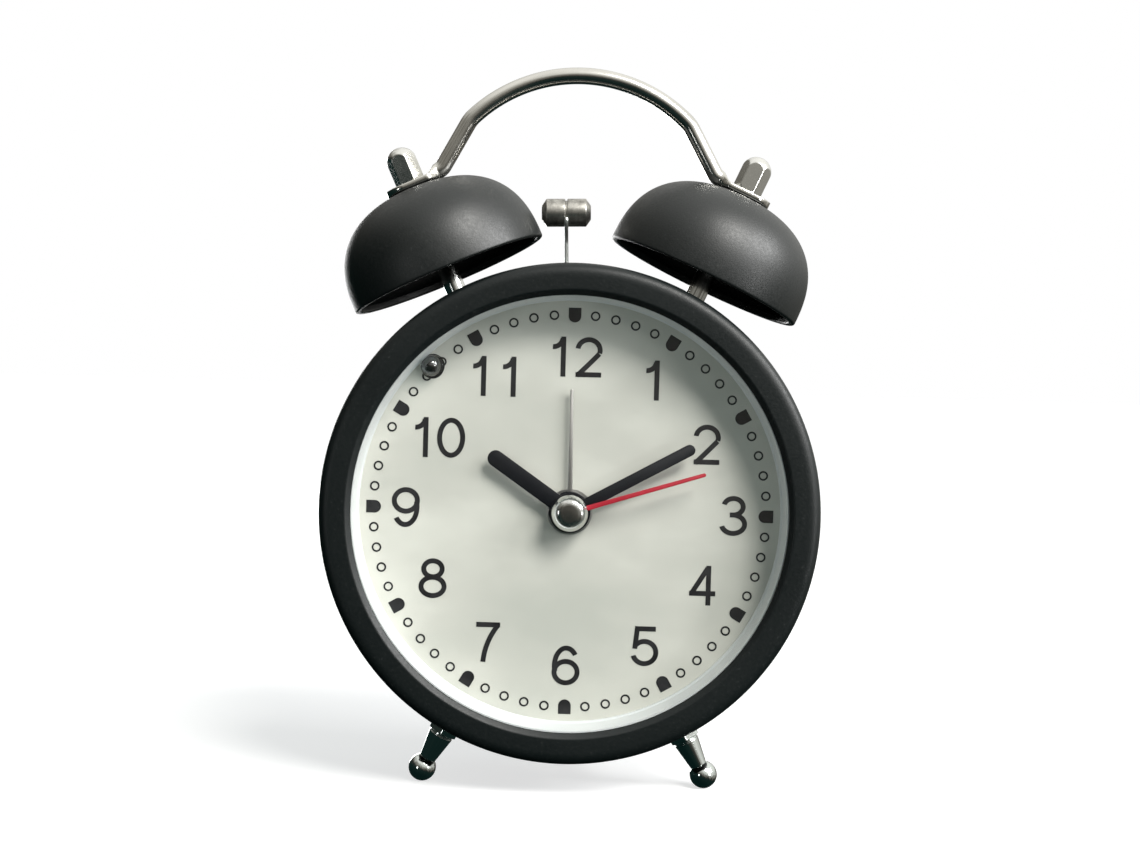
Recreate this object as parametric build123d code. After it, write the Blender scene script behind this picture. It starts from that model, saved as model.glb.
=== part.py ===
from build123d import *
from math import atan2, cos, degrees, hypot, radians, sin, sqrt
import os

# Twin-bell alarm clock. Millimetres, +Z up, the dial faces -Y.
# Everything is drawn about the dial axis: X to the right, Y into the clock from the widest
# plane of the bezel, Z up. write_node moves it so that the origin is at the bottom centre.

# ---- driving dimensions ----
AXIS_HEIGHT = 66.5
CASE_R = 56.0
CASE_WALL = 1.0
CASE_FRONT = 1.5
CASE_BACK = 41.0

BEZEL_R = 58.5
BEZEL_FRONT = -4.0
BEZEL_OPENING_R = 50.9
BEZEL_BACK = 5.0

LENS_FRONT = -2.6
LENS_THICK = 1.6
LENS_R = 53.4

DIAL_Y = 7.2
DIAL_THICK = 0.6
DIAL_R = 54.0
DIAL_VISIBLE_R = 50.1
DIAL_HOLE_R = 4.2
PRINT_THICK = 0.06
MARKER_R = 46.7
MARKER_WIDTH = 3.0
MARKER_LENGTH = 3.5
MINUTE_RING_R = 46.8
MINUTE_RING_OUTER = 1.15
MINUTE_RING_INNER = 0.74
DIGIT_HEIGHT = 9.5
DIGIT_STROKE = 1.18
DIGIT_HALF = 2.75
DIGIT_TOP = DIGIT_HEIGHT - DIGIT_STROKE / 2
DIGIT_FOOT = DIGIT_STROKE / 2
DIGIT_PITCH = 7.1

BELL_X = 31.15
BELL_Y = 20.0
BELL_Z = 56.6
BELL_TILT = 24.4
BELL_R = 24.75
BELL_HEIGHT = 22.2
BELL_WALL = 1.2

POST_R = 2.5
STUD_R = 1.5
CASE_STUD_REACH = 12.0

HANDLE_WIRE_R = 2.0
HANDLE_ARCH_R = 37.4
HANDLE_ARCH_Z = 68.2
HANDLE_LEG_TILT = 28.6
HANDLE_SHOULDER_R = 8.0
HANDLE_BEND_R = 3.2
HANDLE_BEND_REACH = 8.3
HANDLE_WIRE_REACH = 2.0
HANDLE_TAB_THICK = 1.8
HANDLE_TAB_WIDTH = 9.4
HANDLE_TAB_END = 1.8
HANDLE_TAB_BLEND = 2.4

NUT_FLATS = 6.5
NUT_LENGTH = 9.0
NUT_BORE = 5.0

FOOT_ANGLE = 28.3
FOOT_Y = 12.0
FOOT_BALL_R = 3.3
FOOT_BALL_X = 33.9
FOOT_COLLAR_R = 3.6
REAR_FOOT_Y = 36.0
REAR_FOOT_R = 3.5

PIVOT_X = -1.9
PIVOT_Z = 42.0
HAMMER_X = -2.8
HAMMER_Z = 72.2
HAMMER_R = 3.4
HAMMER_LENGTH = 12.0
HAMMER_END_STEP = 1.7
HAMMER_CHAMFER = 1.2
HAMMER_GROOVE = 0.5
HAMMER_ROD_R = 0.5
PIVOT_PIN_R = 0.75

LAMP_ANGLE = 315.0
LAMP_RADIUS = 47.4
LAMP_R = 2.5
LAMP_HOLE_R = 2.8
LAMP_STAND = 4.4

KNOB_R = 5.5
KNOB_LENGTH = 6.2
KNOB_BACK = 48.9
SET_SHAFT_R = 1.0
DEPTH_MIDDLE = (BELL_Y - BELL_R + KNOB_BACK) / 2

# ---- wheels of the movement: teeth, module and the places of their arbors ----
SECOND_PINION = 6
THIRD_WHEEL = 48
THIRD_PINION = 6
CENTRE_WHEEL = 45
THIRD_DISTANCE = 11.34
SECOND_WHEEL = 40
FIFTH_PINION = 8
FIFTH_MODULE = 0.4
FIFTH_WHEEL = 48
ROTOR_PINION = 8
ROTOR_MODULE = 0.35
ROTOR_ANGLE = 215.0
CANNON_PINION = 8
MINUTE_WHEEL = 24
MINUTE_MODULE = 0.5
MINUTE_PINION = 8
HOUR_WHEEL = 32
HOUR_MODULE = 0.4
TIME_SET_ANGLE = -15.0
ALARM_WHEEL = 40
ALARM_PINION = 10
ALARM_MODULE = 0.5
CRANK_GEAR = 30
MOTOR_PINION = 8
CRANK_MODULE = 0.4
CRANK_DROP = 7.4
CRANK_THROW = 1.0
CRANK_BORE = 0.6
CRANK_LEAN = 5.25

TOOTH_THICKNESS = 0.36
ARBOR_R = 0.5
MINUTE_BORE = 0.7
MINUTE_PIPE_R = 1.5
HOUR_BORE = 1.6
HOUR_PIPE_R = 2.4
ALARM_BORE = 2.5
ALARM_PIPE_R = 3.0
RUNNING_GAP = 0.08

# ---- layers of the movement along Y ----
PLATE_FRONT = 7.8
PLATE_THICK = 1.0
MOVEMENT_BACK = 23.6
MOVEMENT_HALF = 28.0
MOVEMENT_WALL = 1.2
ALARM_LAYER = 9.4
HOUR_LAYER = 10.9
MINUTE_LAYER = 12.4
CENTRE_LAYER = 13.9
THIRD_LAYER = 15.6
SECOND_LAYER = 17.0
FIFTH_LAYER = 18.4
ROTOR_LAYER = 19.9
CRANK_LAYER = 24.4
WHEEL_THICK = 0.8
COIL_Z = -22.5

BRACKET_FRONT = 16.6
BRACKET_REAR = 26.0
MOTOR_FRONT = 27.0
MOTOR_R = 6.0
MOTOR_LENGTH = 11.0

ALARM_HAND_Y = 5.6
HOUR_HAND_Y = 4.4
MINUTE_HAND_Y = 3.2
SECOND_HAND_Y = 2.0
HAND_THICK = 0.4
CAP_R = 4.3
CAP_HEIGHT = 2.6
ARBOR_IN_CAP = 1.2
HOUR_ANGLE = 304.6
MINUTE_ANGLE = 61.0
SECOND_ANGLE = 72.7
ALARM_ANGLE = 359.5

BATTERY_R = 7.1
CAN_LENGTH = 49.1
BAY_END = 27.0
BATTERY_Y = 31.4
BATTERY_ROWS = (-20.0, -35.0)

LIGHT_BUTTON = (24.0, 22.0)
ALARM_SWITCH = (-24.0, 22.0)
LIGHT_BUTTON_R = 4.0
COVER_FRONT = 39.4
COVER_BACK = 41.0
COVER_SCREW_R = 49.5
COVER_SCREW_ANGLES = (30, 128, 232, 330)
DOOR_WIDTH = 56.0
DOOR_LOW = -44.0
DOOR_HIGH = -11.5
DOOR_THICK = 1.4
DOOR_RIB = 0.6
EPSILON = 0.01


# ---- shared helpers ----
def polar(radius, clock_angle):
    """X and Z of a point at an angle clockwise from twelve."""
    turn = radians(clock_angle)
    return radius * sin(turn), radius * cos(turn)


def offset(radius, angle, x=0.0, z=0.0):
    """X and Z of a point at an angle from +X towards +Z."""
    return x + radius * cos(radians(angle)), z + radius * sin(radians(angle))


def rod(radius, y_front, y_back, x=0.0, z=0.0):
    """Round bar along Y."""
    return Pos(x, (y_front + y_back) / 2, z) * Rot(X=-90) * Cylinder(radius, y_back - y_front)


def tube(outer, inner, y_front, y_back, x=0.0, z=0.0):
    return rod(outer, y_front, y_back, x, z) - rod(inner, y_front - 1, y_back + 1, x, z)


def block(x_size, y_front, y_back, z_size, x=0.0, z=0.0):
    return Pos(x, (y_front + y_back) / 2, z) * Box(x_size, y_back - y_front, z_size)


def rounded(profile, rounds):
    """Round the corners of a flat face; rounds is a list of ((x, y), radius)."""
    for corner, radius in rounds:
        vertex = profile.vertices().sort_by_distance((*corner, 0))[0]
        profile = fillet(vertex, radius)
    return profile


def turned(points, rounds=()):
    """Solid of revolution about the Y axis from (radius, y) points."""
    profile = make_face(Polyline(*points, close=True))
    return revolve(rounded(profile, rounds), Axis.Y)


def turned_up(points, rounds=()):
    """Solid of revolution about the Z axis from (radius, z) points."""
    profile = make_face(Polyline(*points, close=True))
    return revolve(Rot(X=90) * rounded(profile, rounds), Axis.Z)


def front_sketch(sketch, y_front, thick):
    """Extrude a sketch, drawn with X right and Y up, into the clock from y_front."""
    return Pos(0, y_front + thick, 0) * Rot(X=90) * extrude(sketch, thick)


def write_node(name, *solids):
    """Write one node, moved so that the origin is under the middle of the clock."""
    home = Pos(0, -DEPTH_MIDDLE, AXIS_HEIGHT)
    pieces = [home * piece for solid in solids for piece in solid.solids()]
    shape = pieces[0] if len(pieces) == 1 else Compound(children=pieces)
    export_step(shape, f"parts/{name}.step")


def gear(teeth, module, y_front, y_back, bore, x=0.0, z=0.0, tooth_angle=0.0):
    """Spur wheel about Y with one tooth pointing at tooth_angle, from +X towards +Z."""
    pitch_r = teeth * module / 2
    tip_r = pitch_r + 0.8 * module
    root_r = pitch_r - 1.15 * module
    pitch = 360 / teeth
    points = []
    for index in range(teeth):
        middle = tooth_angle + index * pitch
        half_tip = pitch * TOOTH_THICKNESS * 0.26
        half_root = pitch * TOOTH_THICKNESS * 0.80
        points.append(offset(root_r, middle - half_root))
        points.append(offset(tip_r, middle - half_tip))
        points.append(offset(tip_r, middle + half_tip))
        points.append(offset(root_r, middle + half_root))
    outline = make_face(Polyline(*points, close=True))
    if bore:
        outline -= Circle(bore)
    return Pos(x, 0, z) * front_sketch(outline, y_front, y_back - y_front)


def mesh_gap(teeth, direction):
    """Tooth angle of a wheel whose gap points in a direction."""
    return direction + 180 / teeth


# ---- places worked out from the dimensions above ----
THIRD_MODULE = 2 * THIRD_DISTANCE / (SECOND_PINION + THIRD_WHEEL)
CENTRE_MODULE = 2 * THIRD_DISTANCE / (THIRD_PINION + CENTRE_WHEEL)
THIRD_PLACE = offset(THIRD_DISTANCE, 90)
FIFTH_PLACE = offset(FIFTH_MODULE * (SECOND_WHEEL + FIFTH_PINION) / 2, -90)
ROTOR_PLACE = offset(ROTOR_MODULE * (FIFTH_WHEEL + ROTOR_PINION) / 2, ROTOR_ANGLE, *FIFTH_PLACE)
MINUTE_PLACE = offset(MINUTE_MODULE * (CANNON_PINION + MINUTE_WHEEL) / 2, 0)
TIME_SET_PLACE = offset(MINUTE_MODULE * (MINUTE_WHEEL + CANNON_PINION) / 2, TIME_SET_ANGLE, *MINUTE_PLACE)
ALARM_SET_PLACE = offset(ALARM_MODULE * (ALARM_WHEEL + ALARM_PINION) / 2, 180)
CRANK_PLACE = offset(CRANK_DROP, -90 - CRANK_LEAN, PIVOT_X, PIVOT_Z)
MOTOR_PLACE = offset(CRANK_MODULE * (CRANK_GEAR + MOTOR_PINION) / 2, 0, *CRANK_PLACE)
LAMP_PLACE = polar(LAMP_RADIUS, LAMP_ANGLE)
TAB_FOOT = BELL_HEIGHT + 0.02
TAB_TOP = TAB_FOOT + HANDLE_TAB_THICK
WIRE_HEIGHT = BELL_HEIGHT + HANDLE_WIRE_R - 0.1
ROD_LEAN = degrees(atan2(HAMMER_X - PIVOT_X, HAMMER_Z - PIVOT_Z))


def bell_place(side):
    """Frame of a bell: origin in the middle of its rim, Z along its axis."""
    return Pos(side * BELL_X, BELL_Y, BELL_Z) * Rot(Y=side * BELL_TILT)


def foot_place(side):
    """Frame of a front foot: origin on the case axis, Z along the foot."""
    return Pos(0, FOOT_Y, 0) * Rot(Y=side * (180 - FOOT_ANGLE))


# ---- case ----
def case_shell():
    """Drawn can with a rolled front edge, holes for studs and feet, and the hammer slot."""
    inner = CASE_R - CASE_WALL
    can = turned(
        [(inner, CASE_FRONT), (CASE_R, CASE_FRONT), (CASE_R, CASE_BACK), (inner, CASE_BACK)],
        [((CASE_R, CASE_BACK), 0.6)],
    )
    for side in (-1, 1):
        can -= bell_place(side) * Pos(0, 0, -CASE_STUD_REACH) * Cylinder(STUD_R, 12)
        can -= foot_place(side) * Pos(0, 0, CASE_R) * Cylinder(STUD_R, 8)
    can -= Pos(0, REAR_FOOT_Y, -CASE_R) * Cylinder(STUD_R, 8)
    slot_left = PIVOT_X - 3.6
    slot_right = PIVOT_X + 5.4
    can -= Pos((slot_left + slot_right) / 2, BELL_Y, CASE_R) * Box(slot_right - slot_left, 3.0, 6)
    return can


def front_bezel():
    """Broad flat ring with a rounded outer edge and a thin lip that holds the lens."""
    seat_r = CASE_R + EPSILON
    points = [
        (BEZEL_OPENING_R, LENS_FRONT),
        (BEZEL_OPENING_R, BEZEL_FRONT + 0.9),
        (BEZEL_OPENING_R + 1.1, BEZEL_FRONT),
        (BEZEL_R, BEZEL_FRONT),
        (BEZEL_R, BEZEL_BACK),
        (seat_r, BEZEL_BACK),
        (seat_r, CASE_FRONT),
        (LENS_R, CASE_FRONT),
        (LENS_R, LENS_FRONT),
    ]
    rounds = [
        ((BEZEL_R, BEZEL_FRONT), 3.2),
        ((BEZEL_R, BEZEL_BACK), 1.2),
        ((BEZEL_OPENING_R + 1.1, BEZEL_FRONT), 0.8),
    ]
    return turned(points, rounds)


def front_lens():
    """Clear disc held between the bezel lip and the inner ring."""
    return rod(LENS_R - EPSILON, LENS_FRONT, LENS_FRONT + LENS_THICK)


def inner_ring():
    """White tapered ring from the lens down to the dial, with a flange on the case edge."""
    front = LENS_FRONT + LENS_THICK
    return turned(
        [
            (BEZEL_OPENING_R, front),
            (LENS_R - 0.4, front),
            (LENS_R - 0.4, CASE_FRONT),
            (CASE_R - CASE_WALL, CASE_FRONT),
            (CASE_R - CASE_WALL, DIAL_Y),
            (DIAL_VISIBLE_R, DIAL_Y),
            (DIAL_VISIBLE_R, DIAL_Y - 0.8),
        ]
    )


# ---- dial ----
def dial_plate():
    plate = rod(DIAL_R, DIAL_Y, DIAL_Y + DIAL_THICK) - rod(DIAL_HOLE_R, DIAL_Y - 1, DIAL_Y + 2)
    return plate - rod(LAMP_HOLE_R, DIAL_Y - 1, DIAL_Y + 2, *LAMP_PLACE)


def printed(sketch):
    """Thin layer of ink on the dial face."""
    return front_sketch(sketch, DIAL_Y - PRINT_THICK, PRINT_THICK)


def dial_hour_markers():
    """Twelve marks, flat on the outside and round towards the centre."""
    outer = MARKER_R + MARKER_LENGTH / 2
    nose = MARKER_R - MARKER_LENGTH / 2 + MARKER_WIDTH / 2
    mark = Pos(0, (outer + nose) / 2) * Rectangle(MARKER_WIDTH, outer - nose)
    mark += Pos(0, nose) * Circle(MARKER_WIDTH / 2)
    return [printed(Rot(Z=-30 * hour) * mark) for hour in range(12)]


def dial_minute_rings():
    """Small open rings on the minutes between the hours; the lamp hole cuts two of them."""
    rings = []
    for minute in range(60):
        if minute % 5:
            x, z = polar(MINUTE_RING_R, 6 * minute)
            ring = Pos(x, z) * (Circle(MINUTE_RING_OUTER) - Circle(MINUTE_RING_INNER))
            if hypot(x - LAMP_PLACE[0], z - LAMP_PLACE[1]) < LAMP_R + 2:
                ring -= Pos(*LAMP_PLACE) * Circle(LAMP_HOLE_R)
            rings.append(printed(ring))
    return rings


def bowl(x, y, x_radius, y_radius, start, end):
    """Stroke of a digit along part of an ellipse."""
    return EllipticalCenterArc((x, y), x_radius, y_radius, start, arc_size=end - start)


def digit_strokes(digit):
    """Centre lines of the strokes of one upright sans-serif digit."""
    w = DIGIT_HALF
    half = DIGIT_HEIGHT / 2
    if digit == 0:
        return [bowl(0, half, w, DIGIT_TOP - half, 0, 180), bowl(0, half, w, DIGIT_TOP - half, 180, 360)]
    if digit == 1:
        flag = ThreePointArc((-1.5, 7.05), (-0.1, 7.45), (0.85, 9.1))
        return [Line((1.05, 0), (1.05, DIGIT_HEIGHT)), flag]
    if digit == 2:
        neck = ThreePointArc((w - 0.25, 5.6), (0.2, 3.2), (-w + 0.05, 0.3))
        head = bowl(0, 6.4, w - 0.1, DIGIT_TOP - 6.4, -16, 172)
        return [head, neck, Line((-w - 0.3, DIGIT_FOOT), (w + 0.3, DIGIT_FOOT))]
    if digit == 3:
        upper = bowl(-0.05, 6.95, 2.3, DIGIT_TOP - 6.95, -90, 165)
        lower = bowl(-0.05, 2.78, w, 2.19, -166, 90)
        return [upper, lower, Line((-0.9, 4.97), (0.1, 4.97))]
    if digit == 4:
        slope = Line((-2.75, 2.7), (1.05, 8.9))
        return [Line((1.3, 0), (1.3, DIGIT_HEIGHT)), slope, Line((-3.25, 2.85), (3.0, 2.85))]
    if digit == 5:
        belly = bowl(-0.1, 3.25, w, 2.66, -163, 150)
        side = Line((-1.85, DIGIT_HEIGHT), (-2.4, 4.1))
        return [Line((-2.0, DIGIT_TOP), (2.5, DIGIT_TOP)), side, belly]
    if digit == 6:
        back = bowl(0.1, half, w, DIGIT_TOP - half, 38, 200)
        return [back, bowl(0.05, 3.15, w, 2.56, 0, 180), bowl(0.05, 3.15, w, 2.56, 180, 360)]
    if digit == 7:
        fall = ThreePointArc((w - 0.25, 8.9), (0.2, 4.9), (-0.95, 0))
        return [Line((-w, DIGIT_TOP), (w + 0.2, DIGIT_TOP)), fall]
    head = [bowl(0, 7.0, 2.2, DIGIT_TOP - 7.0, 0, 180), bowl(0, 7.0, 2.2, DIGIT_TOP - 7.0, 180, 360)]
    return head + [bowl(0, 2.8, w, 2.2, 0, 180), bowl(0, 2.8, w, 2.2, 180, 360)]


def digit_face(digit):
    """Flat face of one digit, centred on its height."""
    if digit == 9:
        return Rot(Z=180) * digit_face(6)
    face = Sketch()
    for stroke in digit_strokes(digit):
        face += trace(stroke, DIGIT_STROKE)
    return Pos(0, -DIGIT_HEIGHT / 2) * face


def numeral_place(hour):
    """Centre of a numeral: pulled in a little where it has two digits."""
    places = {0: (0, 36.8), 1: (18.8, 31.7), 2: (32.2, 16.8), 3: (39.0, 0)}
    quarter, step = divmod(hour % 12, 3)
    if quarter in (1, 3):
        step = 3 - step
    x, z = places[step]
    right = 1 if hour % 12 <= 6 else -1
    up = 1 if hour % 12 <= 3 or hour % 12 >= 9 else -1
    return right * x, up * z


def dial_numerals():
    numerals = []
    for hour in range(1, 13):
        x, z = numeral_place(hour)
        digits = [int(letter) for letter in str(hour)]
        for index, digit in enumerate(digits):
            shift = (index - (len(digits) - 1) / 2) * DIGIT_PITCH
            numerals.append(printed(Pos(x + shift, z) * digit_face(digit)))
    return numerals


def led_lamp():
    """Clear 5 mm lamp: dome, barrel, flange and two legs."""
    tip = DIAL_Y - LAMP_STAND
    shoulder = DIAL_Y + 1.4
    flange_r = LAMP_R + 0.4
    flange_back = shoulder + 1.0
    leg_pitch = 2.54
    profile = [
        (0, tip),
        (LAMP_R, tip),
        (LAMP_R, shoulder),
        (flange_r, shoulder),
        (flange_r, flange_back),
        (0, flange_back),
    ]
    x, z = LAMP_PLACE
    lamp = Pos(x, 0, z) * turned(profile, [((LAMP_R, tip), LAMP_R - 0.05)])
    for side in (-1, 1):
        lamp += rod(0.3, flange_back - 0.1, flange_back + 6.0, x + side * leg_pitch / 2, z)
    return lamp


# ---- hands: drawn pointing at twelve, then turned to the time shown ----
def hand_face(length, root_width, tip_width):
    """Straight hand with a round tip."""
    tip = length - tip_width / 2
    root = root_width / 2
    nose = tip_width / 2
    blade = make_face(Polyline((-root, 0), (-nose, tip), (nose, tip), (root, 0), close=True))
    return blade + Pos(0, tip) * Circle(nose)


def hand(face, boss_r, bore, y_front, angle):
    """A flat hand with a round boss and a bore for the pipe it sits on."""
    outline = Rot(Z=-angle) * (face + Circle(boss_r)) - Circle(bore)
    return front_sketch(outline, y_front, HAND_THICK)


def alarm_hand():
    return hand(hand_face(29.1, 1.2, 0.8), 5.4, ALARM_PIPE_R, ALARM_HAND_Y, ALARM_ANGLE)


def hour_hand():
    return hand(hand_face(23.6, 3.9, 3.9), 4.9, HOUR_PIPE_R, HOUR_HAND_Y, HOUR_ANGLE)


def minute_hand():
    return hand(hand_face(33.2, 2.7, 2.7), 4.6, MINUTE_PIPE_R, MINUTE_HAND_Y, MINUTE_ANGLE)


def second_hand():
    return hand(hand_face(33.3, 1.2, 0.9), 2.0, ARBOR_R, SECOND_HAND_Y, SECOND_ANGLE)


def hand_cap():
    """Domed cap pressed on the second arbor in front of the second hand."""
    back = SECOND_HAND_Y
    front = back - CAP_HEIGHT
    profile = [(0, front), (CAP_R, front), (CAP_R, back), (0, back)]
    dome = turned(profile, [((CAP_R, front), CAP_HEIGHT - 0.3)])
    return dome - rod(ARBOR_R, back - ARBOR_IN_CAP, back + 1)


# ---- movement: wheels on nested pipes about the dial axis ----
def alarm_wheel():
    back = ALARM_LAYER + WHEEL_THICK
    wheel = gear(ALARM_WHEEL, ALARM_MODULE, ALARM_LAYER, back, ALARM_BORE, tooth_angle=180)
    return wheel + tube(ALARM_PIPE_R, ALARM_BORE, ALARM_HAND_Y - 0.1, back)


def hour_wheel():
    back = HOUR_LAYER + WHEEL_THICK
    wheel = gear(HOUR_WHEEL, HOUR_MODULE, HOUR_LAYER, back, HOUR_BORE)
    return wheel + tube(HOUR_PIPE_R, HOUR_BORE, HOUR_HAND_Y - 0.1, back)


def centre_wheel():
    """Minute arbor: cannon pinion and centre wheel on one pipe."""
    back = CENTRE_LAYER + WHEEL_THICK
    cannon = gear(CANNON_PINION, MINUTE_MODULE, MINUTE_LAYER, MINUTE_LAYER + WHEEL_THICK, MINUTE_BORE)
    wheel = gear(CENTRE_WHEEL, CENTRE_MODULE, CENTRE_LAYER, back, MINUTE_BORE, tooth_angle=90)
    arbor = tube(MINUTE_PIPE_R, MINUTE_BORE, MINUTE_HAND_Y - 0.1, back)
    return cannon + wheel + arbor


def second_wheel():
    """Second arbor through all the pipes, with its pinion and wheel."""
    arbor = rod(ARBOR_R, SECOND_HAND_Y - ARBOR_IN_CAP, MOVEMENT_BACK - PLATE_THICK)
    front = THIRD_LAYER - 0.1
    phase = mesh_gap(SECOND_PINION, 90)
    pinion = gear(SECOND_PINION, THIRD_MODULE, front, SECOND_LAYER, 0, tooth_angle=phase)
    wheel = gear(SECOND_WHEEL, FIFTH_MODULE, SECOND_LAYER, SECOND_LAYER + WHEEL_THICK, 0, tooth_angle=-90)
    return arbor + pinion + wheel


def third_wheel():
    x, z = THIRD_PLACE
    front = CENTRE_LAYER - 0.1
    pinion = gear(THIRD_PINION, CENTRE_MODULE, front, THIRD_LAYER, 0, x, z, mesh_gap(THIRD_PINION, -90))
    wheel = gear(THIRD_WHEEL, THIRD_MODULE, THIRD_LAYER, THIRD_LAYER + WHEEL_THICK, 0, x, z, -90)
    return rod(ARBOR_R, PLATE_FRONT + PLATE_THICK, MOVEMENT_BACK - PLATE_THICK, x, z) + pinion + wheel


def fifth_wheel():
    x, z = FIFTH_PLACE
    front = SECOND_LAYER - 0.1
    pinion = gear(FIFTH_PINION, FIFTH_MODULE, front, FIFTH_LAYER, 0, x, z, mesh_gap(FIFTH_PINION, 90))
    wheel = gear(FIFTH_WHEEL, ROTOR_MODULE, FIFTH_LAYER, FIFTH_LAYER + WHEEL_THICK, 0, x, z, ROTOR_ANGLE)
    return rod(ARBOR_R, CENTRE_LAYER + 1.2, MOVEMENT_BACK - PLATE_THICK, x, z) + pinion + wheel


def rotor():
    """Magnet rotor with its pinion."""
    x, z = ROTOR_PLACE
    phase = mesh_gap(ROTOR_PINION, ROTOR_ANGLE + 180)
    pinion = gear(ROTOR_PINION, ROTOR_MODULE, FIFTH_LAYER - 0.1, ROTOR_LAYER, 0, x, z, phase)
    magnet = rod(2.6, ROTOR_LAYER, ROTOR_LAYER + 1.8, x, z)
    return rod(ARBOR_R, CENTRE_LAYER + 1.2, MOVEMENT_BACK - PLATE_THICK, x, z) + pinion + magnet


def minute_wheel():
    x, z = MINUTE_PLACE
    front = HOUR_LAYER - 0.1
    phase = mesh_gap(MINUTE_PINION, 180)
    pinion = gear(MINUTE_PINION, HOUR_MODULE, front, MINUTE_LAYER, 0, x, z, phase)
    phase = mesh_gap(MINUTE_WHEEL, 180)
    wheel = gear(MINUTE_WHEEL, MINUTE_MODULE, MINUTE_LAYER, MINUTE_LAYER + WHEEL_THICK, 0, x, z, phase)
    return rod(ARBOR_R, HOUR_LAYER - 0.5, MINUTE_LAYER + 1.2, x, z) + pinion + wheel


def set_shaft(place, teeth, module, layer, tooth_angle):
    """Setting pinion on a shaft that runs out through the rear cover."""
    x, z = place
    pinion = gear(teeth, module, layer, layer + WHEEL_THICK, 0, x, z, tooth_angle)
    return pinion + rod(SET_SHAFT_R, layer, KNOB_BACK - 3.0, x, z)


def time_set_shaft():
    # the minute wheel has a gap towards the cannon pinion and so a tooth half a pitch from it
    pitch = 360 / MINUTE_WHEEL
    steps = (TIME_SET_ANGLE - 180) / pitch - 0.5
    wheel_phase = (steps - round(steps)) * MINUTE_WHEEL / CANNON_PINION * pitch
    angle = mesh_gap(CANNON_PINION, TIME_SET_ANGLE + 180) + wheel_phase
    return set_shaft(TIME_SET_PLACE, CANNON_PINION, MINUTE_MODULE, MINUTE_LAYER, angle)


def alarm_set_shaft():
    return set_shaft(ALARM_SET_PLACE, ALARM_PINION, ALARM_MODULE, ALARM_LAYER, mesh_gap(ALARM_PINION, 0))


def set_knob(place):
    """Ribbed knob behind the rear cover."""
    x, z = place
    front = KNOB_BACK - KNOB_LENGTH
    flutes = 18
    flute_r = 0.45
    profile = [(0, front), (KNOB_R, front), (KNOB_R, KNOB_BACK), (0, KNOB_BACK)]
    knob = turned(profile, [((KNOB_R, KNOB_BACK), 0.8)])
    for index in range(flutes):
        flute_x, flute_z = offset(KNOB_R + 0.15, 360 / flutes * index)
        knob -= rod(flute_r, front + 1.2, KNOB_BACK + 1, flute_x, flute_z)
    knob -= rod(SET_SHAFT_R, front - 1, KNOB_BACK - 3.0)
    return Pos(x, 0, z) * knob


def movement_front_plate():
    """Moulded plate with bearings and four pillars that carry the back case."""
    size = 2 * MOVEMENT_HALF
    back = PLATE_FRONT + PLATE_THICK
    pillar = MOVEMENT_HALF - 4.0
    plate = block(size, PLATE_FRONT, back, size)
    plate -= rod(ALARM_PIPE_R + RUNNING_GAP, PLATE_FRONT - 1, back + 1)
    for x in (-pillar, pillar):
        for z in (-pillar, pillar):
            plate += rod(1.8, back, MOVEMENT_BACK - PLATE_THICK, x, z)
    lamp_clear = Pos(LAMP_PLACE[0], PLATE_FRONT, LAMP_PLACE[1]) * Box(8, 6, 8)
    return plate - lamp_clear


def movement_back_case():
    """Back case: floor and four walls, bored for the setting shafts."""
    size = 2 * MOVEMENT_HALF
    front = PLATE_FRONT + PLATE_THICK
    case = block(size, front, MOVEMENT_BACK, size)
    inside = size - 2 * MOVEMENT_WALL
    case -= block(inside, front - 1, MOVEMENT_BACK - PLATE_THICK, inside)
    for place in (TIME_SET_PLACE, ALARM_SET_PLACE):
        case -= rod(SET_SHAFT_R + RUNNING_GAP, front, MOVEMENT_BACK + 1, *place)
    return case


def stator():
    """Laminated plate round the rotor, running out to the coil."""
    x, z = ROTOR_PLACE
    front = ROTOR_LAYER + 0.4
    back = front + 1.0
    plate = block(22.5, front, back, 6, -10.75, COIL_Z) + block(9, front, back, 10, x, z)
    plate += block(6, front, back, abs(z - COIL_Z), x - 1, (z + COIL_Z) / 2)
    return plate - rod(3.0, front - 1, back + 1, x, z)


def coil():
    """Wound coil on its bobbin across the gap of the stator."""
    length = 17
    place = Pos(0.5 + length / 2, ROTOR_LAYER + 0.45, COIL_Z)
    body = place * Rot(Y=90) * Cylinder(1.8, length)
    for side in (-1, 1):
        body += place * Pos(side * (length / 2 - 0.3), 0, 0) * Rot(Y=90) * Cylinder(2.2, 0.6)
    return body


def circuit_board():
    """Board with its chip and the crystal can."""
    x = 21.8
    back = ROTOR_LAYER + 1.0
    board = block(9, ROTOR_LAYER, back, 24, x, 9)
    board += block(5, back, back + 0.9, 5, x, 5)
    return board + Pos(x, back + 0.7, 15) * Rot(Y=90) * Cylinder(0.8, 6)


# ---- striker ----
def hammer_rod():
    length = hypot(HAMMER_X - PIVOT_X, HAMMER_Z - PIVOT_Z)
    place = Pos(PIVOT_X, BELL_Y, PIVOT_Z) * Rot(Y=ROD_LEAN)
    low = 1.2
    high = length + 2.2
    return place * Pos(0, 0, (low + high) / 2) * Cylinder(HAMMER_ROD_R, high - low)


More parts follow.
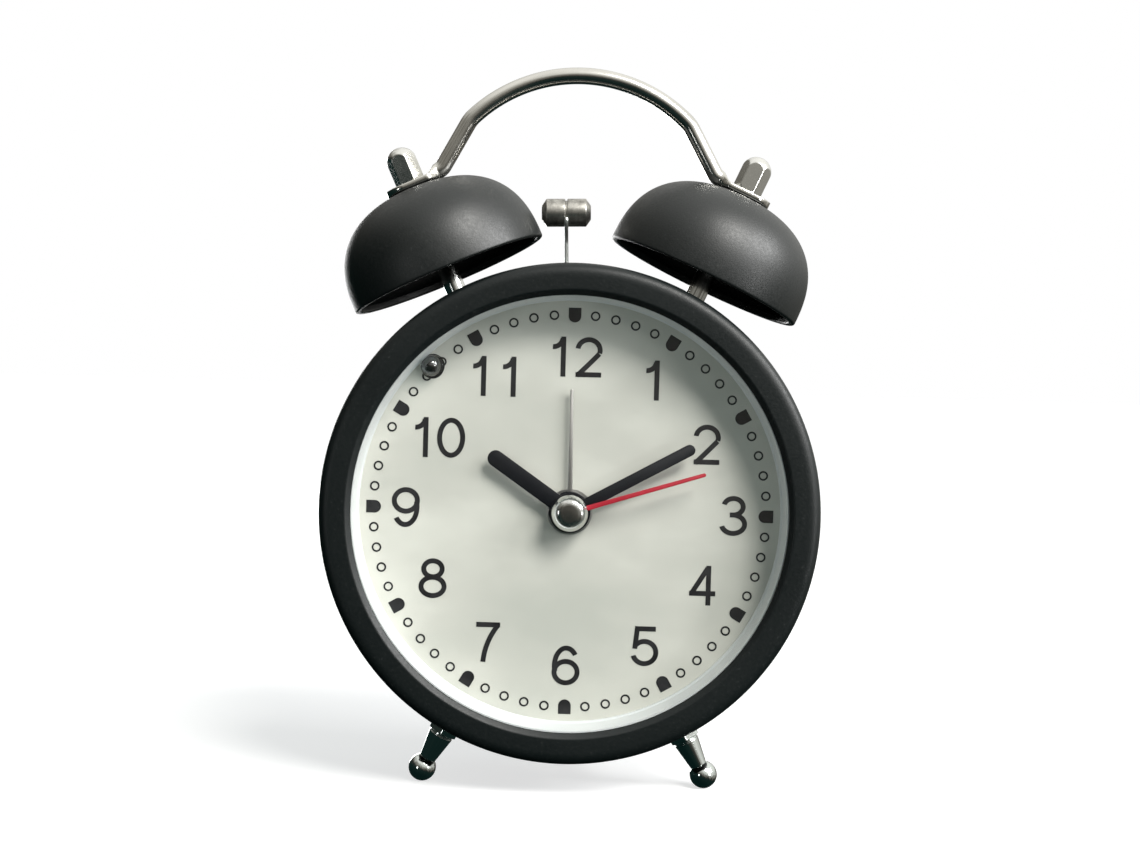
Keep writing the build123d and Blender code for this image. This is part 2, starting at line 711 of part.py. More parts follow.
def hammer_head():
    """Steel barrel with chamfered ends and a groove round its middle."""
    half = HAMMER_LENGTH / 2
    groove = 0.45
    face_r = HAMMER_R - HAMMER_END_STEP
    groove_r = HAMMER_R - HAMMER_GROOVE
    profile = [
        (0, -half),
        (face_r, -half),
        (HAMMER_R, -half + HAMMER_CHAMFER),
        (HAMMER_R, -groove),
        (groove_r, -groove),
        (groove_r, groove),
        (HAMMER_R, groove),
        (HAMMER_R, half - HAMMER_CHAMFER),
        (face_r, half),
        (0, half),
    ]
    barrel = Rot(Y=ROD_LEAN) * Rot(Y=90) * turned_up(profile)
    return Pos(HAMMER_X, BELL_Y, HAMMER_Z) * barrel - hammer_rod()


def hammer_arm():
    """Lever with the rod's socket above its pivot and a fork below it."""
    front = BELL_Y - 1.0
    back = BELL_Y + 1.0
    arm = rod(2.6, front, back, PIVOT_X, PIVOT_Z)
    arm += Pos(PIVOT_X, BELL_Y, PIVOT_Z) * Rot(Y=ROD_LEAN) * Pos(0, 0, 3.0) * Box(2.6, 2.0, 4.0)
    arm += block(8.4, front, back, 1.6, PIVOT_X, PIVOT_Z - 2.6)
    for side in (-1, 1):
        arm += block(1.2, front, back, 7.6, PIVOT_X + side * 3.6, PIVOT_Z - 5.6)
    bore = rod(PIVOT_PIN_R + RUNNING_GAP, front - 1, back + 1, PIVOT_X, PIVOT_Z)
    return arm - bore - hammer_rod()


def hammer_pivot_pin():
    return rod(PIVOT_PIN_R, BRACKET_FRONT, BRACKET_REAR + 1.0, PIVOT_X, PIVOT_Z)


def striker_gear():
    """Crank gear with the pin that beats in the fork."""
    x, z = CRANK_PLACE
    wheel = gear(CRANK_GEAR, CRANK_MODULE, CRANK_LAYER, CRANK_LAYER + 1.0, CRANK_BORE, x, z)
    return wheel + rod(ARBOR_R, BELL_Y - 0.6, CRANK_LAYER, *offset(CRANK_THROW, 90, x, z))


def motor_pinion():
    """Motor shaft with its pinion."""
    phase = mesh_gap(MOTOR_PINION, 180)
    front = CRANK_LAYER - 0.2
    pinion = gear(MOTOR_PINION, CRANK_MODULE, front, front + 1.4, 0, *MOTOR_PLACE, phase)
    return pinion + rod(ARBOR_R, front - 0.6, MOTOR_FRONT + 4, *MOTOR_PLACE)


def striker_motor():
    """Small can motor, bored for its shaft."""
    back = MOTOR_FRONT + MOTOR_LENGTH
    body = turned(
        [(0, MOTOR_FRONT), (MOTOR_R, MOTOR_FRONT), (MOTOR_R, back), (0, back)],
        [((MOTOR_R, MOTOR_FRONT), 0.8)],
    )
    body -= rod(ARBOR_R + RUNNING_GAP, MOTOR_FRONT - 1, MOTOR_FRONT + 4.2)
    return Pos(MOTOR_PLACE[0], 0, MOTOR_PLACE[1]) * body


def striker_bracket():
    """Channel that holds the pivot pin, the crank gear's arbor and the motor."""
    x, z = CRANK_PLACE
    back = BRACKET_REAR + 1.0
    base = block(24, BRACKET_REAR, back, 38, x + 2, 50) - block(30, BRACKET_REAR - 1, back + 1, 10, x, 64)
    base += rod(5.0, BRACKET_REAR, back, x, z)
    base += block(1.2, BRACKET_FRONT, back, 14, x - 9.4, 46)
    base += block(14, BRACKET_FRONT, BRACKET_FRONT + 1.0, 9, x - 3, 44)
    base &= rod(CASE_R - CASE_WALL, 10, 35)
    base -= rod(PIVOT_PIN_R, 10, 35, PIVOT_X, PIVOT_Z)
    base -= rod(MOTOR_R + 0.3, BRACKET_REAR - 0.2, back + 3, *MOTOR_PLACE)
    return base + rod(CRANK_BORE - 0.05, CRANK_LAYER - 0.5, BRACKET_REAR + 0.5, x, z)


# ---- bells, posts, nuts, handle ----
def bell_profile(radius, height):
    """Points of a superellipse from the rim up to the crown."""
    steps = 7
    power = 2 / 2.5
    turns = [radians(90 * index / steps) for index in range(steps + 1)]
    return [(radius * max(cos(turn), 0) ** power, height * sin(turn) ** power) for turn in turns]


def bell(side):
    """Pressed dome with a rolled rim and a hole in its crown."""
    outer = bell_profile(BELL_R, BELL_HEIGHT)
    inner = bell_profile(BELL_R - BELL_WALL, BELL_HEIGHT - BELL_WALL)
    outside = Spline(*outer, tangents=[(0, 1), (-1, 0)])
    inside = Spline(*inner, tangents=[(0, 1), (-1, 0)])
    crown = Line(outer[-1], inner[-1])
    lip = ThreePointArc(inner[0], (BELL_R - BELL_WALL / 2, -BELL_WALL / 2), outer[0])
    section = Rot(X=90) * make_face([outside, crown, inside, lip])
    dome = revolve(section, Axis.Z) - Cylinder(STUD_R, 4 * BELL_HEIGHT)
    return bell_place(side) * dome


def bell_post(side):
    """Post from the case to the crown, with a threaded stud at each end."""
    crown = BELL_HEIGHT - BELL_WALL - 0.06
    root = -CASE_STUD_REACH - 2
    shank = Pos(0, 0, (crown + root) / 2) * Cylinder(POST_R, crown - root)
    post = bell_place(side) * shank - rod(CASE_R, 0, 45)
    stud_top = TAB_TOP + NUT_BORE
    stud_root = -CASE_STUD_REACH - 1
    stud = bell_place(side) * Pos(0, 0, (stud_top + stud_root) / 2) * Cylinder(STUD_R, stud_top - stud_root)
    return post + stud


def hexagon(flats, height):
    """Hexagonal prism from Z = 0 with chamfered corners at both ends."""
    prism = extrude(RegularPolygon(flats / 2, 6, major_radius=False), height)
    corner = flats / 2 / cos(radians(30))
    chamfer = 0.45
    cut = turned_up(
        [
            (0, 0),
            (flats / 2, 0),
            (corner, chamfer),
            (corner, height - chamfer),
            (flats / 2, height),
            (0, height),
        ]
    )
    return prism & cut


def cap_nut(side):
    """Hexagonal nut with a hemispherical end that clamps the handle and the bell."""
    corner = NUT_FLATS / 2 / cos(radians(30))
    dome = Pos(0, 0, (NUT_LENGTH - corner) / 2) * Cylinder(corner, NUT_LENGTH - corner)
    dome += Pos(0, 0, NUT_LENGTH - corner) * Sphere(corner)
    nut = hexagon(NUT_FLATS, NUT_LENGTH) & dome
    nut -= Pos(0, 0, NUT_BORE / 2) * Cylinder(STUD_R, NUT_BORE + EPSILON)
    spin = 5 if side > 0 else 20
    return bell_place(side) * Pos(0, 0, TAB_TOP) * Rot(Z=spin) * nut


def hidden_nut():
    """Plain nut inside the case, with its hole."""
    return hexagon(5.5, 2.2) - Cylinder(STUD_R, 10)


def case_nuts():
    """Nuts on the studs of the posts and feet."""
    nuts = []
    for side in (-1, 1):
        nuts.append(bell_place(side) * Pos(0, 0, -12.9) * hidden_nut())
        nuts.append(foot_place(side) * Pos(0, 0, CASE_R - CASE_WALL - 2.6) * hidden_nut())
    return nuts


def handle_path(side):
    """Points of the handle's centre line on one side, with the tangent arc at its shoulder."""
    tilt = radians(BELL_TILT)
    lean = radians(HANDLE_LEG_TILT)
    bend_x = BELL_X + WIRE_HEIGHT * sin(tilt) - HANDLE_BEND_REACH * cos(tilt)
    bend_z = BELL_Z + WIRE_HEIGHT * cos(tilt) + HANDLE_BEND_REACH * sin(tilt)
    shoulder_r = HANDLE_SHOULDER_R
    # centre of the shoulder arc: shoulder_r inside the leg's line and inside the arch
    base_x = bend_x - shoulder_r * cos(lean)
    base_z = bend_z - shoulder_r * sin(lean) - HANDLE_ARCH_Z
    along = base_x * -sin(lean) + base_z * cos(lean)
    gap = (HANDLE_ARCH_R - shoulder_r) ** 2 - base_x**2 - base_z**2
    travel = -along + sqrt(along**2 + gap)
    centre_x = base_x - travel * sin(lean)
    centre_z = base_z + travel * cos(lean)
    reach = HANDLE_ARCH_R / hypot(centre_x, centre_z)
    arch_end = (side * centre_x * reach, HANDLE_ARCH_Z + centre_z * reach)
    middle = (lean + atan2(centre_z, centre_x)) / 2
    leg_top, shoulder = [
        (side * (centre_x + shoulder_r * cos(turn)), HANDLE_ARCH_Z + centre_z + shoulder_r * sin(turn))
        for turn in (lean, middle)
    ]
    return arch_end, shoulder, leg_top, (side * bend_x, bend_z)


def carry_handle():
    """Round wire bent over the bells, its ends flattened and bored for the studs."""
    ends = {side: handle_path(side) for side in (-1, 1)}
    top = (0, HANDLE_ARCH_Z + HANDLE_ARCH_R)
    lines = [ThreePointArc(ends[-1][0], top, ends[1][0])]
    bend_r = HANDLE_BEND_R
    for side in (-1, 1):
        arch_end, shoulder, leg_top, bend = ends[side]
        turn = radians(90 - HANDLE_LEG_TILT - BELL_TILT) / 2
        trim = bend_r * sin(turn) / cos(turn)
        down = (side * sin(radians(HANDLE_LEG_TILT)), -cos(radians(HANDLE_LEG_TILT)))
        out = (side * cos(radians(BELL_TILT)), -sin(radians(BELL_TILT)))
        leg_end = (bend[0] - trim * down[0], bend[1] - trim * down[1])
        tab_start = (bend[0] + trim * out[0], bend[1] + trim * out[1])
        inward = bend_r * (1 / cos(turn) - 1)
        bisector = (out[0] - down[0], out[1] - down[1])
        size = hypot(*bisector)
        bend_middle = (bend[0] + inward * bisector[0] / size, bend[1] + inward * bisector[1] / size)
        wire_end = (bend[0] + HANDLE_WIRE_REACH * out[0], bend[1] + HANDLE_WIRE_REACH * out[1])
        lines += [
            ThreePointArc(arch_end, shoulder, leg_top),
            Line(leg_top, leg_end),
            ThreePointArc(leg_end, bend_middle, tab_start),
            Line(tab_start, wire_end),
        ]
    path = Pos(0, BELL_Y, 0) * Rot(X=90) * Wire(lines)
    start = path.position_at(0)
    section = Plane(origin=start, z_dir=path.tangent_at(0)) * Circle(HANDLE_WIRE_R)
    handle = sweep(section, path)
    for side in (-1, 1):
        handle += handle_tab(side)
        handle -= bell_place(side) * Pos(0, 0, BELL_HEIGHT) * Cylinder(STUD_R, 12)
    return handle


def handle_tab(side):
    """Flattened end of the wire: it widens from the round wire to a tab round the stud."""
    middle_h = TAB_FOOT + HANDLE_TAB_THICK / 2
    half = HANDLE_TAB_WIDTH / 2
    neck = HANDLE_WIRE_REACH - HANDLE_BEND_REACH
    full = neck + HANDLE_TAB_BLEND
    root = full - 0.5
    end = HANDLE_TAB_END
    plate = make_face(Polyline((root, -half), (end, -half), (end, half), (root, half), close=True))
    plate += Pos(end, 0) * Circle(half)
    tab = Pos(0, 0, TAB_FOOT) * extrude(plate, HANDLE_TAB_THICK)
    wire_plane = Plane(origin=(neck, 0, WIRE_HEIGHT), x_dir=(0, 1, 0), z_dir=(1, 0, 0))
    flat_plane = Plane(origin=(full, 0, middle_h), x_dir=(0, 1, 0), z_dir=(1, 0, 0))
    tab += loft([wire_plane * Circle(HANDLE_WIRE_R), flat_plane * Rectangle(2 * half, HANDLE_TAB_THICK)])
    return bell_place(side) * Rot(Z=0 if side > 0 else 180) * tab


# ---- feet ----
def foot(side):
    """Turned foot: collar on the case, taper and ball, with a stud through the case."""
    ball = hypot(FOOT_BALL_X, AXIS_HEIGHT - FOOT_BALL_R)
    neck_r = 2.2
    collar_end = CASE_R + 2.6
    stem = turned_up(
        [
            (0, CASE_R - 3),
            (FOOT_COLLAR_R, CASE_R - 3),
            (FOOT_COLLAR_R, collar_end),
            (FOOT_COLLAR_R - 0.6, collar_end + 0.4),
            (FOOT_COLLAR_R - 0.3, collar_end + 1.6),
            (neck_r, ball - FOOT_BALL_R + 1.0),
            (neck_r, ball),
            (0, ball),
        ],
        [((FOOT_COLLAR_R, collar_end), 0.3)],
    )
    stem = foot_place(side) * stem - rod(CASE_R, 0, 30)
    stud = foot_place(side) * Pos(0, 0, CASE_R) * Cylinder(STUD_R, 8)
    return stem + stud + foot_place(side) * Pos(0, 0, ball) * Sphere(FOOT_BALL_R)


def rear_foot():
    """Hidden rear foot with a flat rubber-tipped end."""
    stem_r = 2.4
    stem_top = -CASE_R + 3
    stem = turned_up(
        [
            (0, -AXIS_HEIGHT),
            (REAR_FOOT_R, -AXIS_HEIGHT),
            (REAR_FOOT_R, -AXIS_HEIGHT + 2.4),
            (stem_r, -AXIS_HEIGHT + 3.6),
            (stem_r, stem_top),
            (0, stem_top),
        ],
        [((REAR_FOOT_R, -AXIS_HEIGHT), 0.4)],
    )
    stem = Pos(0, REAR_FOOT_Y, 0) * stem - rod(CASE_R, 20, 45)
    return stem + Pos(0, REAR_FOOT_Y, -CASE_R + 0.5) * Cylinder(STUD_R, 5)


# ---- rear ----
def cover_screw_places():
    return [polar(COVER_SCREW_R, angle) for angle in COVER_SCREW_ANGLES]


def rear_cover():
    """Rear plate with the battery bay, and holes for shafts, button, switch and screws."""
    inner = CASE_R - CASE_WALL
    cover = rod(inner, COVER_FRONT, COVER_BACK)
    bay_z = sum(BATTERY_ROWS) / 2
    bay = block(58, BATTERY_Y - BATTERY_R - 0.7, COVER_FRONT + 0.5, 31, 0, bay_z)
    cover += bay & rod(inner, 20, COVER_BACK)
    for row in BATTERY_ROWS:
        cover -= Pos(0, BATTERY_Y, row) * Rot(Y=90) * Cylinder(BATTERY_R + 0.05, 55)
        cover -= block(55, BATTERY_Y, COVER_BACK + 1, 2 * BATTERY_R + 0.1, 0, row)
    for place in (TIME_SET_PLACE, ALARM_SET_PLACE):
        cover -= rod(SET_SHAFT_R + RUNNING_GAP, COVER_FRONT - 1, COVER_BACK + 1, *place)
    cover -= rod(LIGHT_BUTTON_R + RUNNING_GAP, COVER_FRONT - 1, COVER_BACK + 1, *LIGHT_BUTTON)
    cover -= block(9.2, COVER_FRONT - 1, COVER_BACK + 1, 3.2, *ALARM_SWITCH)
    for place in cover_screw_places():
        cover -= rod(1.2, COVER_FRONT - 1, COVER_BACK + 1, *place)
    pitch = 5
    for row in range(5):
        for side in (-1, 0, 1):
            cover -= rod(1.0, COVER_FRONT - 1, COVER_BACK + 1, side * pitch, 18 + row * pitch)
    return cover


def rear_cover_screws():
    """Pan-head screws with a cross recess."""
    screws = []
    for x, z in cover_screw_places():
        screw = rod(2.2, COVER_BACK, COVER_BACK + 1.4, x, z)
        screw += rod(1.2, COVER_FRONT - 3, COVER_BACK + 0.5, x, z)
        screw -= block(2.4, COVER_BACK + 0.8, COVER_BACK + 2, 0.5, x, z)
        screw -= block(0.5, COVER_BACK + 0.8, COVER_BACK + 2, 2.4, x, z)
        screws.append(screw)
    return screws


def battery_door():
    """Sliding door over the battery bay, with grip ribs."""
    front = COVER_BACK + 0.05
    back = front + DOOR_THICK
    height = DOOR_HIGH - DOOR_LOW
    middle = (DOOR_HIGH + DOOR_LOW) / 2
    door = block(DOOR_WIDTH, front, back, height, 0, middle)
    door = fillet(door.edges().filter_by(Axis.Y), 2.0)
    for index in range(4):
        door += block(16, back, back + DOOR_RIB, 0.9, 0, DOOR_HIGH - 5 - 2.2 * index)
    return door


def battery_cells():
    """Two AA cells, laid opposite ways."""
    cells = []
    for row, side in zip(BATTERY_ROWS, (1, -1)):
        can = Pos(0, BATTERY_Y, row) * Rot(Y=90) * Cylinder(BATTERY_R, CAN_LENGTH)
        button = Pos(side * CAN_LENGTH / 2, BATTERY_Y, row) * Rot(Y=90) * Cylinder(2.6, 2.4)
        cells.append(can + button)
    return cells


def battery_contacts():
    """Spring-steel plates at the ends of the bay."""
    plates = []
    for row in BATTERY_ROWS:
        for side in (-1, 1):
            plates.append(block(0.4, BATTERY_Y - 4.8, BATTERY_Y + 4.8, 9.6, side * (BAY_END + 0.2), row))
    return plates


def battery_springs():
    """Coned contact springs on the flat ends of the cells, as wound rings on a common seat."""
    springs = []
    for row, side in zip(BATTERY_ROWS, (-1, 1)):
        reach = BAY_END - CAN_LENGTH / 2
        helix = Helix(pitch=0.8, height=reach - 0.7, radius=3.4, cone_angle=-20)
        start = Plane(origin=helix @ 0, z_dir=helix % 0)
        coil_wire = sweep(start * Circle(0.25), helix)
        place = Pos(side * BAY_END, BATTERY_Y, row) * Rot(Y=-90 * side) * Pos(0, 0, 0.35)
        springs.append(place * coil_wire)
    return springs


def light_button():
    """Push button for the dial lamp: domed cap on a stem, with a flange inside the cover."""
    x, z = LIGHT_BUTTON
    front = COVER_FRONT - 3
    back = COVER_BACK + 3.4
    radius = LIGHT_BUTTON_R
    cap = turned([(0, front), (radius, front), (radius, back), (0, back)], [((radius, back), 0.9)])
    flange = rod(radius + 1.2, COVER_FRONT - 1.4, COVER_FRONT - 0.1)
    return Pos(x, 0, z) * (cap + flange)


def alarm_switch():
    """Slide switch that turns the alarm on and off."""
    x, z = ALARM_SWITCH
    x -= 2.0
    knob = block(4.8, COVER_FRONT - 2.4, COVER_BACK + 2.4, 3.0, x, z)
    knob += block(14, COVER_FRONT - 2.4, COVER_FRONT - 0.1, 6, x, z)
    for index in (-1, 0, 1):
        knob -= block(0.5, COVER_BACK + 1.9, COVER_BACK + 3, 4, x + 1.3 * index, z)
    return knob


# ---- build and write every node ----
def main():
    os.makedirs("parts", exist_ok=True)
    write_node("case_shell", case_shell())
    write_node("front_bezel", front_bezel())
    write_node("front_lens", front_lens())
    write_node("inner_ring", inner_ring())
    write_node("dial_plate", dial_plate())
    write_node("dial_hour_markers", *dial_hour_markers())
    write_node("dial_minute_rings", *dial_minute_rings())
    write_node("dial_numerals", *dial_numerals())
    write_node("led_lamp", led_lamp())
    write_node("alarm_hand", alarm_hand())
    write_node("hour_hand", hour_hand())
    write_node("minute_hand", minute_hand())
    write_node("second_hand", second_hand())
    write_node("hand_cap", hand_cap())
    write_node("alarm_wheel", alarm_wheel())
    write_node("hour_wheel", hour_wheel())
    write_node("centre_wheel", centre_wheel())
    write_node("second_wheel", second_wheel())
    write_node("third_wheel", third_wheel())
    write_node("fifth_wheel", fifth_wheel())
    write_node("rotor", rotor())
    write_node("minute_wheel", minute_wheel())
    write_node("time_set_shaft", time_set_shaft())
    write_node("time_set_knob", set_knob(TIME_SET_PLACE))
    write_node("alarm_set_shaft", alarm_set_shaft())
    write_node("alarm_set_knob", set_knob(ALARM_SET_PLACE))
    write_node("movement_front_plate", movement_front_plate())
    write_node("movement_back_case", movement_back_case())
    write_node("stator", stator())
    write_node("coil", coil())
    write_node("circuit_board", circuit_board())
    write_node("hammer_rod", hammer_rod())
    write_node("hammer_head", hammer_head())
    write_node("hammer_arm", hammer_arm())
    write_node("hammer_pivot_pin", hammer_pivot_pin())
    write_node("striker_gear", striker_gear())
    write_node("motor_pinion", motor_pinion())
    write_node("striker_motor", striker_motor())
    write_node("striker_bracket", striker_bracket())
    write_node("case_nuts", *case_nuts())
    write_node("carry_handle", carry_handle())
    for side, word in ((-1, "left"), (1, "right")):
        write_node(f"bell_{word}", bell(side))
        write_node(f"bell_post_{word}", bell_post(side))
        write_node(f"cap_nut_{word}", cap_nut(side))
        write_node(f"foot_{word}", foot(side))
    write_node("rear_foot", rear_foot())
    write_node("rear_cover", rear_cover())
    write_node("rear_cover_screws", *rear_cover_screws())
    write_node("battery_door", battery_door())
    write_node("battery_cells", *battery_cells())
    write_node("battery_contacts", *battery_contacts())
    write_node("battery_springs", *battery_springs())
    write_node("light_button", light_button())
    write_node("alarm_switch", alarm_switch())


main()
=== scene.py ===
from math import atan2, cos, degrees, hypot, pi, radians, sin, sqrt

import bmesh
import bpy
from mathutils import Matrix, Vector


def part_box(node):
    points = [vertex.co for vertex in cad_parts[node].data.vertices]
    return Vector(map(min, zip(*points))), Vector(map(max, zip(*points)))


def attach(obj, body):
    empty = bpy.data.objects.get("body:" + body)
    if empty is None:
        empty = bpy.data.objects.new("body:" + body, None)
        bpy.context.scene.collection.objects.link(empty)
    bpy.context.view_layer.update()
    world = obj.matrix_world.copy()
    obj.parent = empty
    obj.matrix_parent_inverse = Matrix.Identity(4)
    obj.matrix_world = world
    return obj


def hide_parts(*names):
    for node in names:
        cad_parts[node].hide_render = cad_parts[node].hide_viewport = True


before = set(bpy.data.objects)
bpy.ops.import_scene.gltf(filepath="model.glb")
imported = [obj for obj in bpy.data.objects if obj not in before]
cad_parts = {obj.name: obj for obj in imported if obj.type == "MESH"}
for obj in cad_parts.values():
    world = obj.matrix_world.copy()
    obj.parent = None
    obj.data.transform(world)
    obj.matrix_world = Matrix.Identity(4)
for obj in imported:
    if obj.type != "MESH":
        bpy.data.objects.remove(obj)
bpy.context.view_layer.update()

# Looks of a twin-bell alarm clock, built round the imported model. Shapes are drawn in millimetres
# about the dial axis: X right, Y into the clock from the widest plane of the bezel, Z up.
MM = 0.001

# ---- the dial axis and the bezel, read from the frame ----
BEZEL_FRONT = -4.0
bezel_low, bezel_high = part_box("front_bezel")
AXIS_HEIGHT = (bezel_low.z + bezel_high.z) / 2 / MM
DEPTH_MIDDLE = BEZEL_FRONT - bezel_low.y / MM
BEZEL_R = (bezel_high.x - bezel_low.x) / 2 / MM
HOME = Matrix.Scale(MM, 4) @ Matrix.Translation((0, -DEPTH_MIDDLE, AXIS_HEIGHT))

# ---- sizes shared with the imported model, in millimetres and degrees ----
OPENING_R = 50.9
CASE_R = 56.0
CASE_FRONT = 1.5
LENS_BACK = -1.0
DIAL_Y = 7.2
RING_BACK_R = 50.1
BELL_X = 31.15
BELL_Y = 20.0
BELL_Z = 56.6
BELL_TILT = 24.4
BELL_R = 24.75
BELL_HEIGHT = 22.2
BELL_WALL = 1.2
POST_R = 2.5
STUD_R = 1.5
TAB_THICK = 1.8
TAB_FOOT = BELL_HEIGHT + 0.02
WIRE_R = 2.0
WIRE_HEIGHT = BELL_HEIGHT + WIRE_R - 0.1
BEND_REACH = 8.3
ARCH_R = 37.4
ARCH_Z = 68.2
LEG_TILT = 28.6
TAB_HALF = 4.7
FOOT_ANGLE = 28.3
FOOT_Y = 12.0
BALL_R = 3.3
FOOT_NECK = 141
FOOT_FLATS = 6.9
BALL_DISTANCE = hypot(33.9, AXIS_HEIGHT - BALL_R)
HAMMER_X = -2.8
HAMMER_Z = 72.2
HAMMER_R = 3.4
PIVOT_X = -1.9
PIVOT_Z = 42.0
LAMP_ANGLE = 315.0
LAMP_RADIUS = 47.4
LAMP_R = 2.5
LAMP_STAND = 4.4

# ---- sizes of single pieces ----
BELL_HOLE_R = 1.6
NUT_FLATS = 6.5
NUT_LENGTH = 9.0
NUT_SPIN = {-1: -9, 1: -8}
SHOULDER_R = 8.0
BEND_R = 3.2
NUT_TO_TAB_END = 1.8
PRESS_REACH = 2.6
COLLAR_R = 3.9
COLLAR_END = BEZEL_R + 3.2
BARREL_HALF = 6.0
ROD_R = 0.47
HAND_THICK = 0.4
HAND_EDGE = 0.12
WELD_DISTANCE = 1e-7
TINY_R = 0.02

# ---- camera, fitted to the photograph ----
CAMERA_DISTANCE = 380.0
CAMERA_HEIGHT = 30.0
CAMERA_PITCH = -1.48
CAMERA_ROLL = 1.55
CAMERA_YAW = 0.07
CAMERA_LENS = 51.45
CAMERA_SENSOR = 36.0

# ---- light ----
WALL_GLOW = 1.0
FILL_GLOW = 0.205
FILL_COLOUR = (0.82, 1.0, 1.0)
KEY_POWER = 3.0
KEY_ANGLE = 22
KEY_COLOUR = (1.0, 0.985, 0.95)
KEY_PLACE = (0.40, -0.58, 0.70)
FLOOR_R = 40.0
FLOOR_GLOW = 0.64
WALL_R = 39.0
FILL_R = 38.0
# name, place, point aimed at, side of the square, watts
AREA_LIGHTS = [
    ("side_right", (0.95, -0.35, 0.62), (0, 0, 0.10), 0.45, 11.0),
    ("window", (0.70, -0.62, 0.52), (0, 0, 0.08), 0.32, 2.4),
    ("strip_left", (-0.62, -0.77, 0.05), (0, 0, 0.02), 0.18, 0.5),
    ("rear_soft", (-0.35, 1.05, 0.12), (0, 0, 0.06), 0.5, 5.0),
    ("strip_right", (0.60, -0.45, 0.06), (0, 0, 0.03), 0.12, 0.7),
]
# brightness of the room from below left to above right, as the metal reflects it
ROOM_SLOPE = (0.24, -0.02, 0.52)
ROOM_LEVEL = 0.27
ROOM_PATCHES = 0.46
ROOM_STOPS = [
    (0.0, (0.004, 0.014, 0.013)),
    (0.38, (0.010, 0.024, 0.022)),
    (0.47, (0.050, 0.046, 0.040)),
    (0.54, (0.130, 0.122, 0.105)),
    (0.64, (0.360, 0.350, 0.320)),
    (0.78, (0.950, 0.940, 0.900)),
    (1.0, (1.200, 1.190, 1.150)),
]


# ---- places ----
def turned(axis, angle):
    return Matrix.Rotation(radians(angle), 4, axis)


def moved(x, y, z):
    return Matrix.Translation((x, y, z))


def bell_place(side):
    """Frame of a bell: origin in the middle of its rim, Z along its axis."""
    return moved(side * BELL_X, BELL_Y, BELL_Z) @ turned("Y", side * BELL_TILT)


def foot_place(side):
    return moved(0, FOOT_Y, 0) @ turned("Y", side * (180 - FOOT_ANGLE))


def facing(y=0.0, x=0.0, z=0.0):
    """Frame whose Z runs into the clock, for parts turned about the Y axis."""
    return moved(x, y, z) @ turned("X", -90)


def polar(radius, clock_angle):
    turn = radians(clock_angle)
    return radius * sin(turn), radius * cos(turn)


# ---- mesh building ----
def soften(points, closed=False, steps=7):
    """Polyline of (x, y, radius) corners, each rounded by an arc of its radius."""
    out = []
    count = len(points)
    for index, (x, y, radius) in enumerate(points):
        here = Vector((x, y))
        ends = index in (0, count - 1) and not closed
        if radius <= 0 or ends:
            out.append((x, y))
            continue
        before = Vector(points[index - 1][:2]) - here
        after = Vector(points[(index + 1) % count][:2]) - here
        half = before.angle(after) / 2
        trim = min(radius / max(sin(half) / cos(half), 1e-6), before.length * 0.49, after.length * 0.49)
        start = here + before.normalized() * trim
        end = here + after.normalized() * trim
        for step in range(steps + 1):
            t = step / steps
            blend = start.lerp(here, t).lerp(here.lerp(end, t), t)
            out.append((blend.x, blend.y))
    return out


def mesh_piece(name, vertices, faces, place, body, material, sharp=32, replaces=()):
    """Make an object from millimetre vertices, shade it smooth, and let it ride on a body."""
    mesh = bpy.data.meshes.new(name)
    whole = HOME @ place
    mesh.from_pydata([whole @ Vector(v) for v in vertices], [], faces)
    mesh.validate()
    mesh.polygons.foreach_set("use_smooth", [True] * len(mesh.polygons))
    piece = bpy.data.objects.new(name, mesh)
    bpy.context.scene.collection.objects.link(piece)
    tidy_normals(mesh)
    mesh.set_sharp_from_angle(angle=radians(sharp))
    mesh.materials.append(material)
    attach(piece, body)
    if replaces:
        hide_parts(*replaces)
    return piece


def tidy_normals(mesh):
    """Weld doubled points and turn every face outward."""
    work = bmesh.new()
    work.from_mesh(mesh)
    bmesh.ops.remove_doubles(work, verts=work.verts, dist=WELD_DISTANCE)
    bmesh.ops.recalc_face_normals(work, faces=work.faces)
    work.to_mesh(mesh)
    work.free()


def lathe(profile, segments=128, closed=False):
    """Vertices and faces of a profile of (radius, height) turned about Z."""
    vertices = []
    faces = []
    rows = []
    for radius, height in profile:
        if radius < 1e-6:
            rows.append([len(vertices)] * segments)
            vertices.append((0, 0, height))
            continue
        rows.append(list(range(len(vertices), len(vertices) + segments)))
        for step in range(segments):
            turn = 2 * pi * step / segments
            vertices.append((radius * cos(turn), radius * sin(turn), height))
    pairs = list(zip(rows, rows[1:]))
    if closed:
        pairs.append((rows[-1], rows[0]))
    for low, high in pairs:
        for step in range(segments):
            following = (step + 1) % segments
            corners = [low[step], low[following], high[following], high[step]]
            unique = list(dict.fromkeys(corners))
            if len(unique) > 2:
                faces.append(unique)
    return vertices, faces


def turned_piece(name, profile, place, body, material, replaces=(), segments=128, closed=False, sharp=32):
    """A piece turned on a lathe from its profile."""
    vertices, faces = lathe(profile, segments, closed)
    return mesh_piece(name, vertices, faces, place, body, material, sharp, replaces)


def loft(sections):
    """Vertices and faces through equal rings of points, closed at both ends."""
    size = len(sections[0])
    vertices = [point for ring in sections for point in ring]
    faces = []
    for row in range(len(sections) - 1):
        for step in range(size):
            following = (step + 1) % size
            low = row * size
            high = low + size
            faces.append((low + step, low + following, high + following, high + step))
    last = (len(sections) - 1) * size
    faces.append(tuple(range(size - 1, -1, -1)))
    faces.append(tuple(range(last, last + size)))
    return vertices, faces


def upright(points, y):
    """Ring of (x, z) points at one depth."""
    return [(p[0], y, p[1]) for p in points]


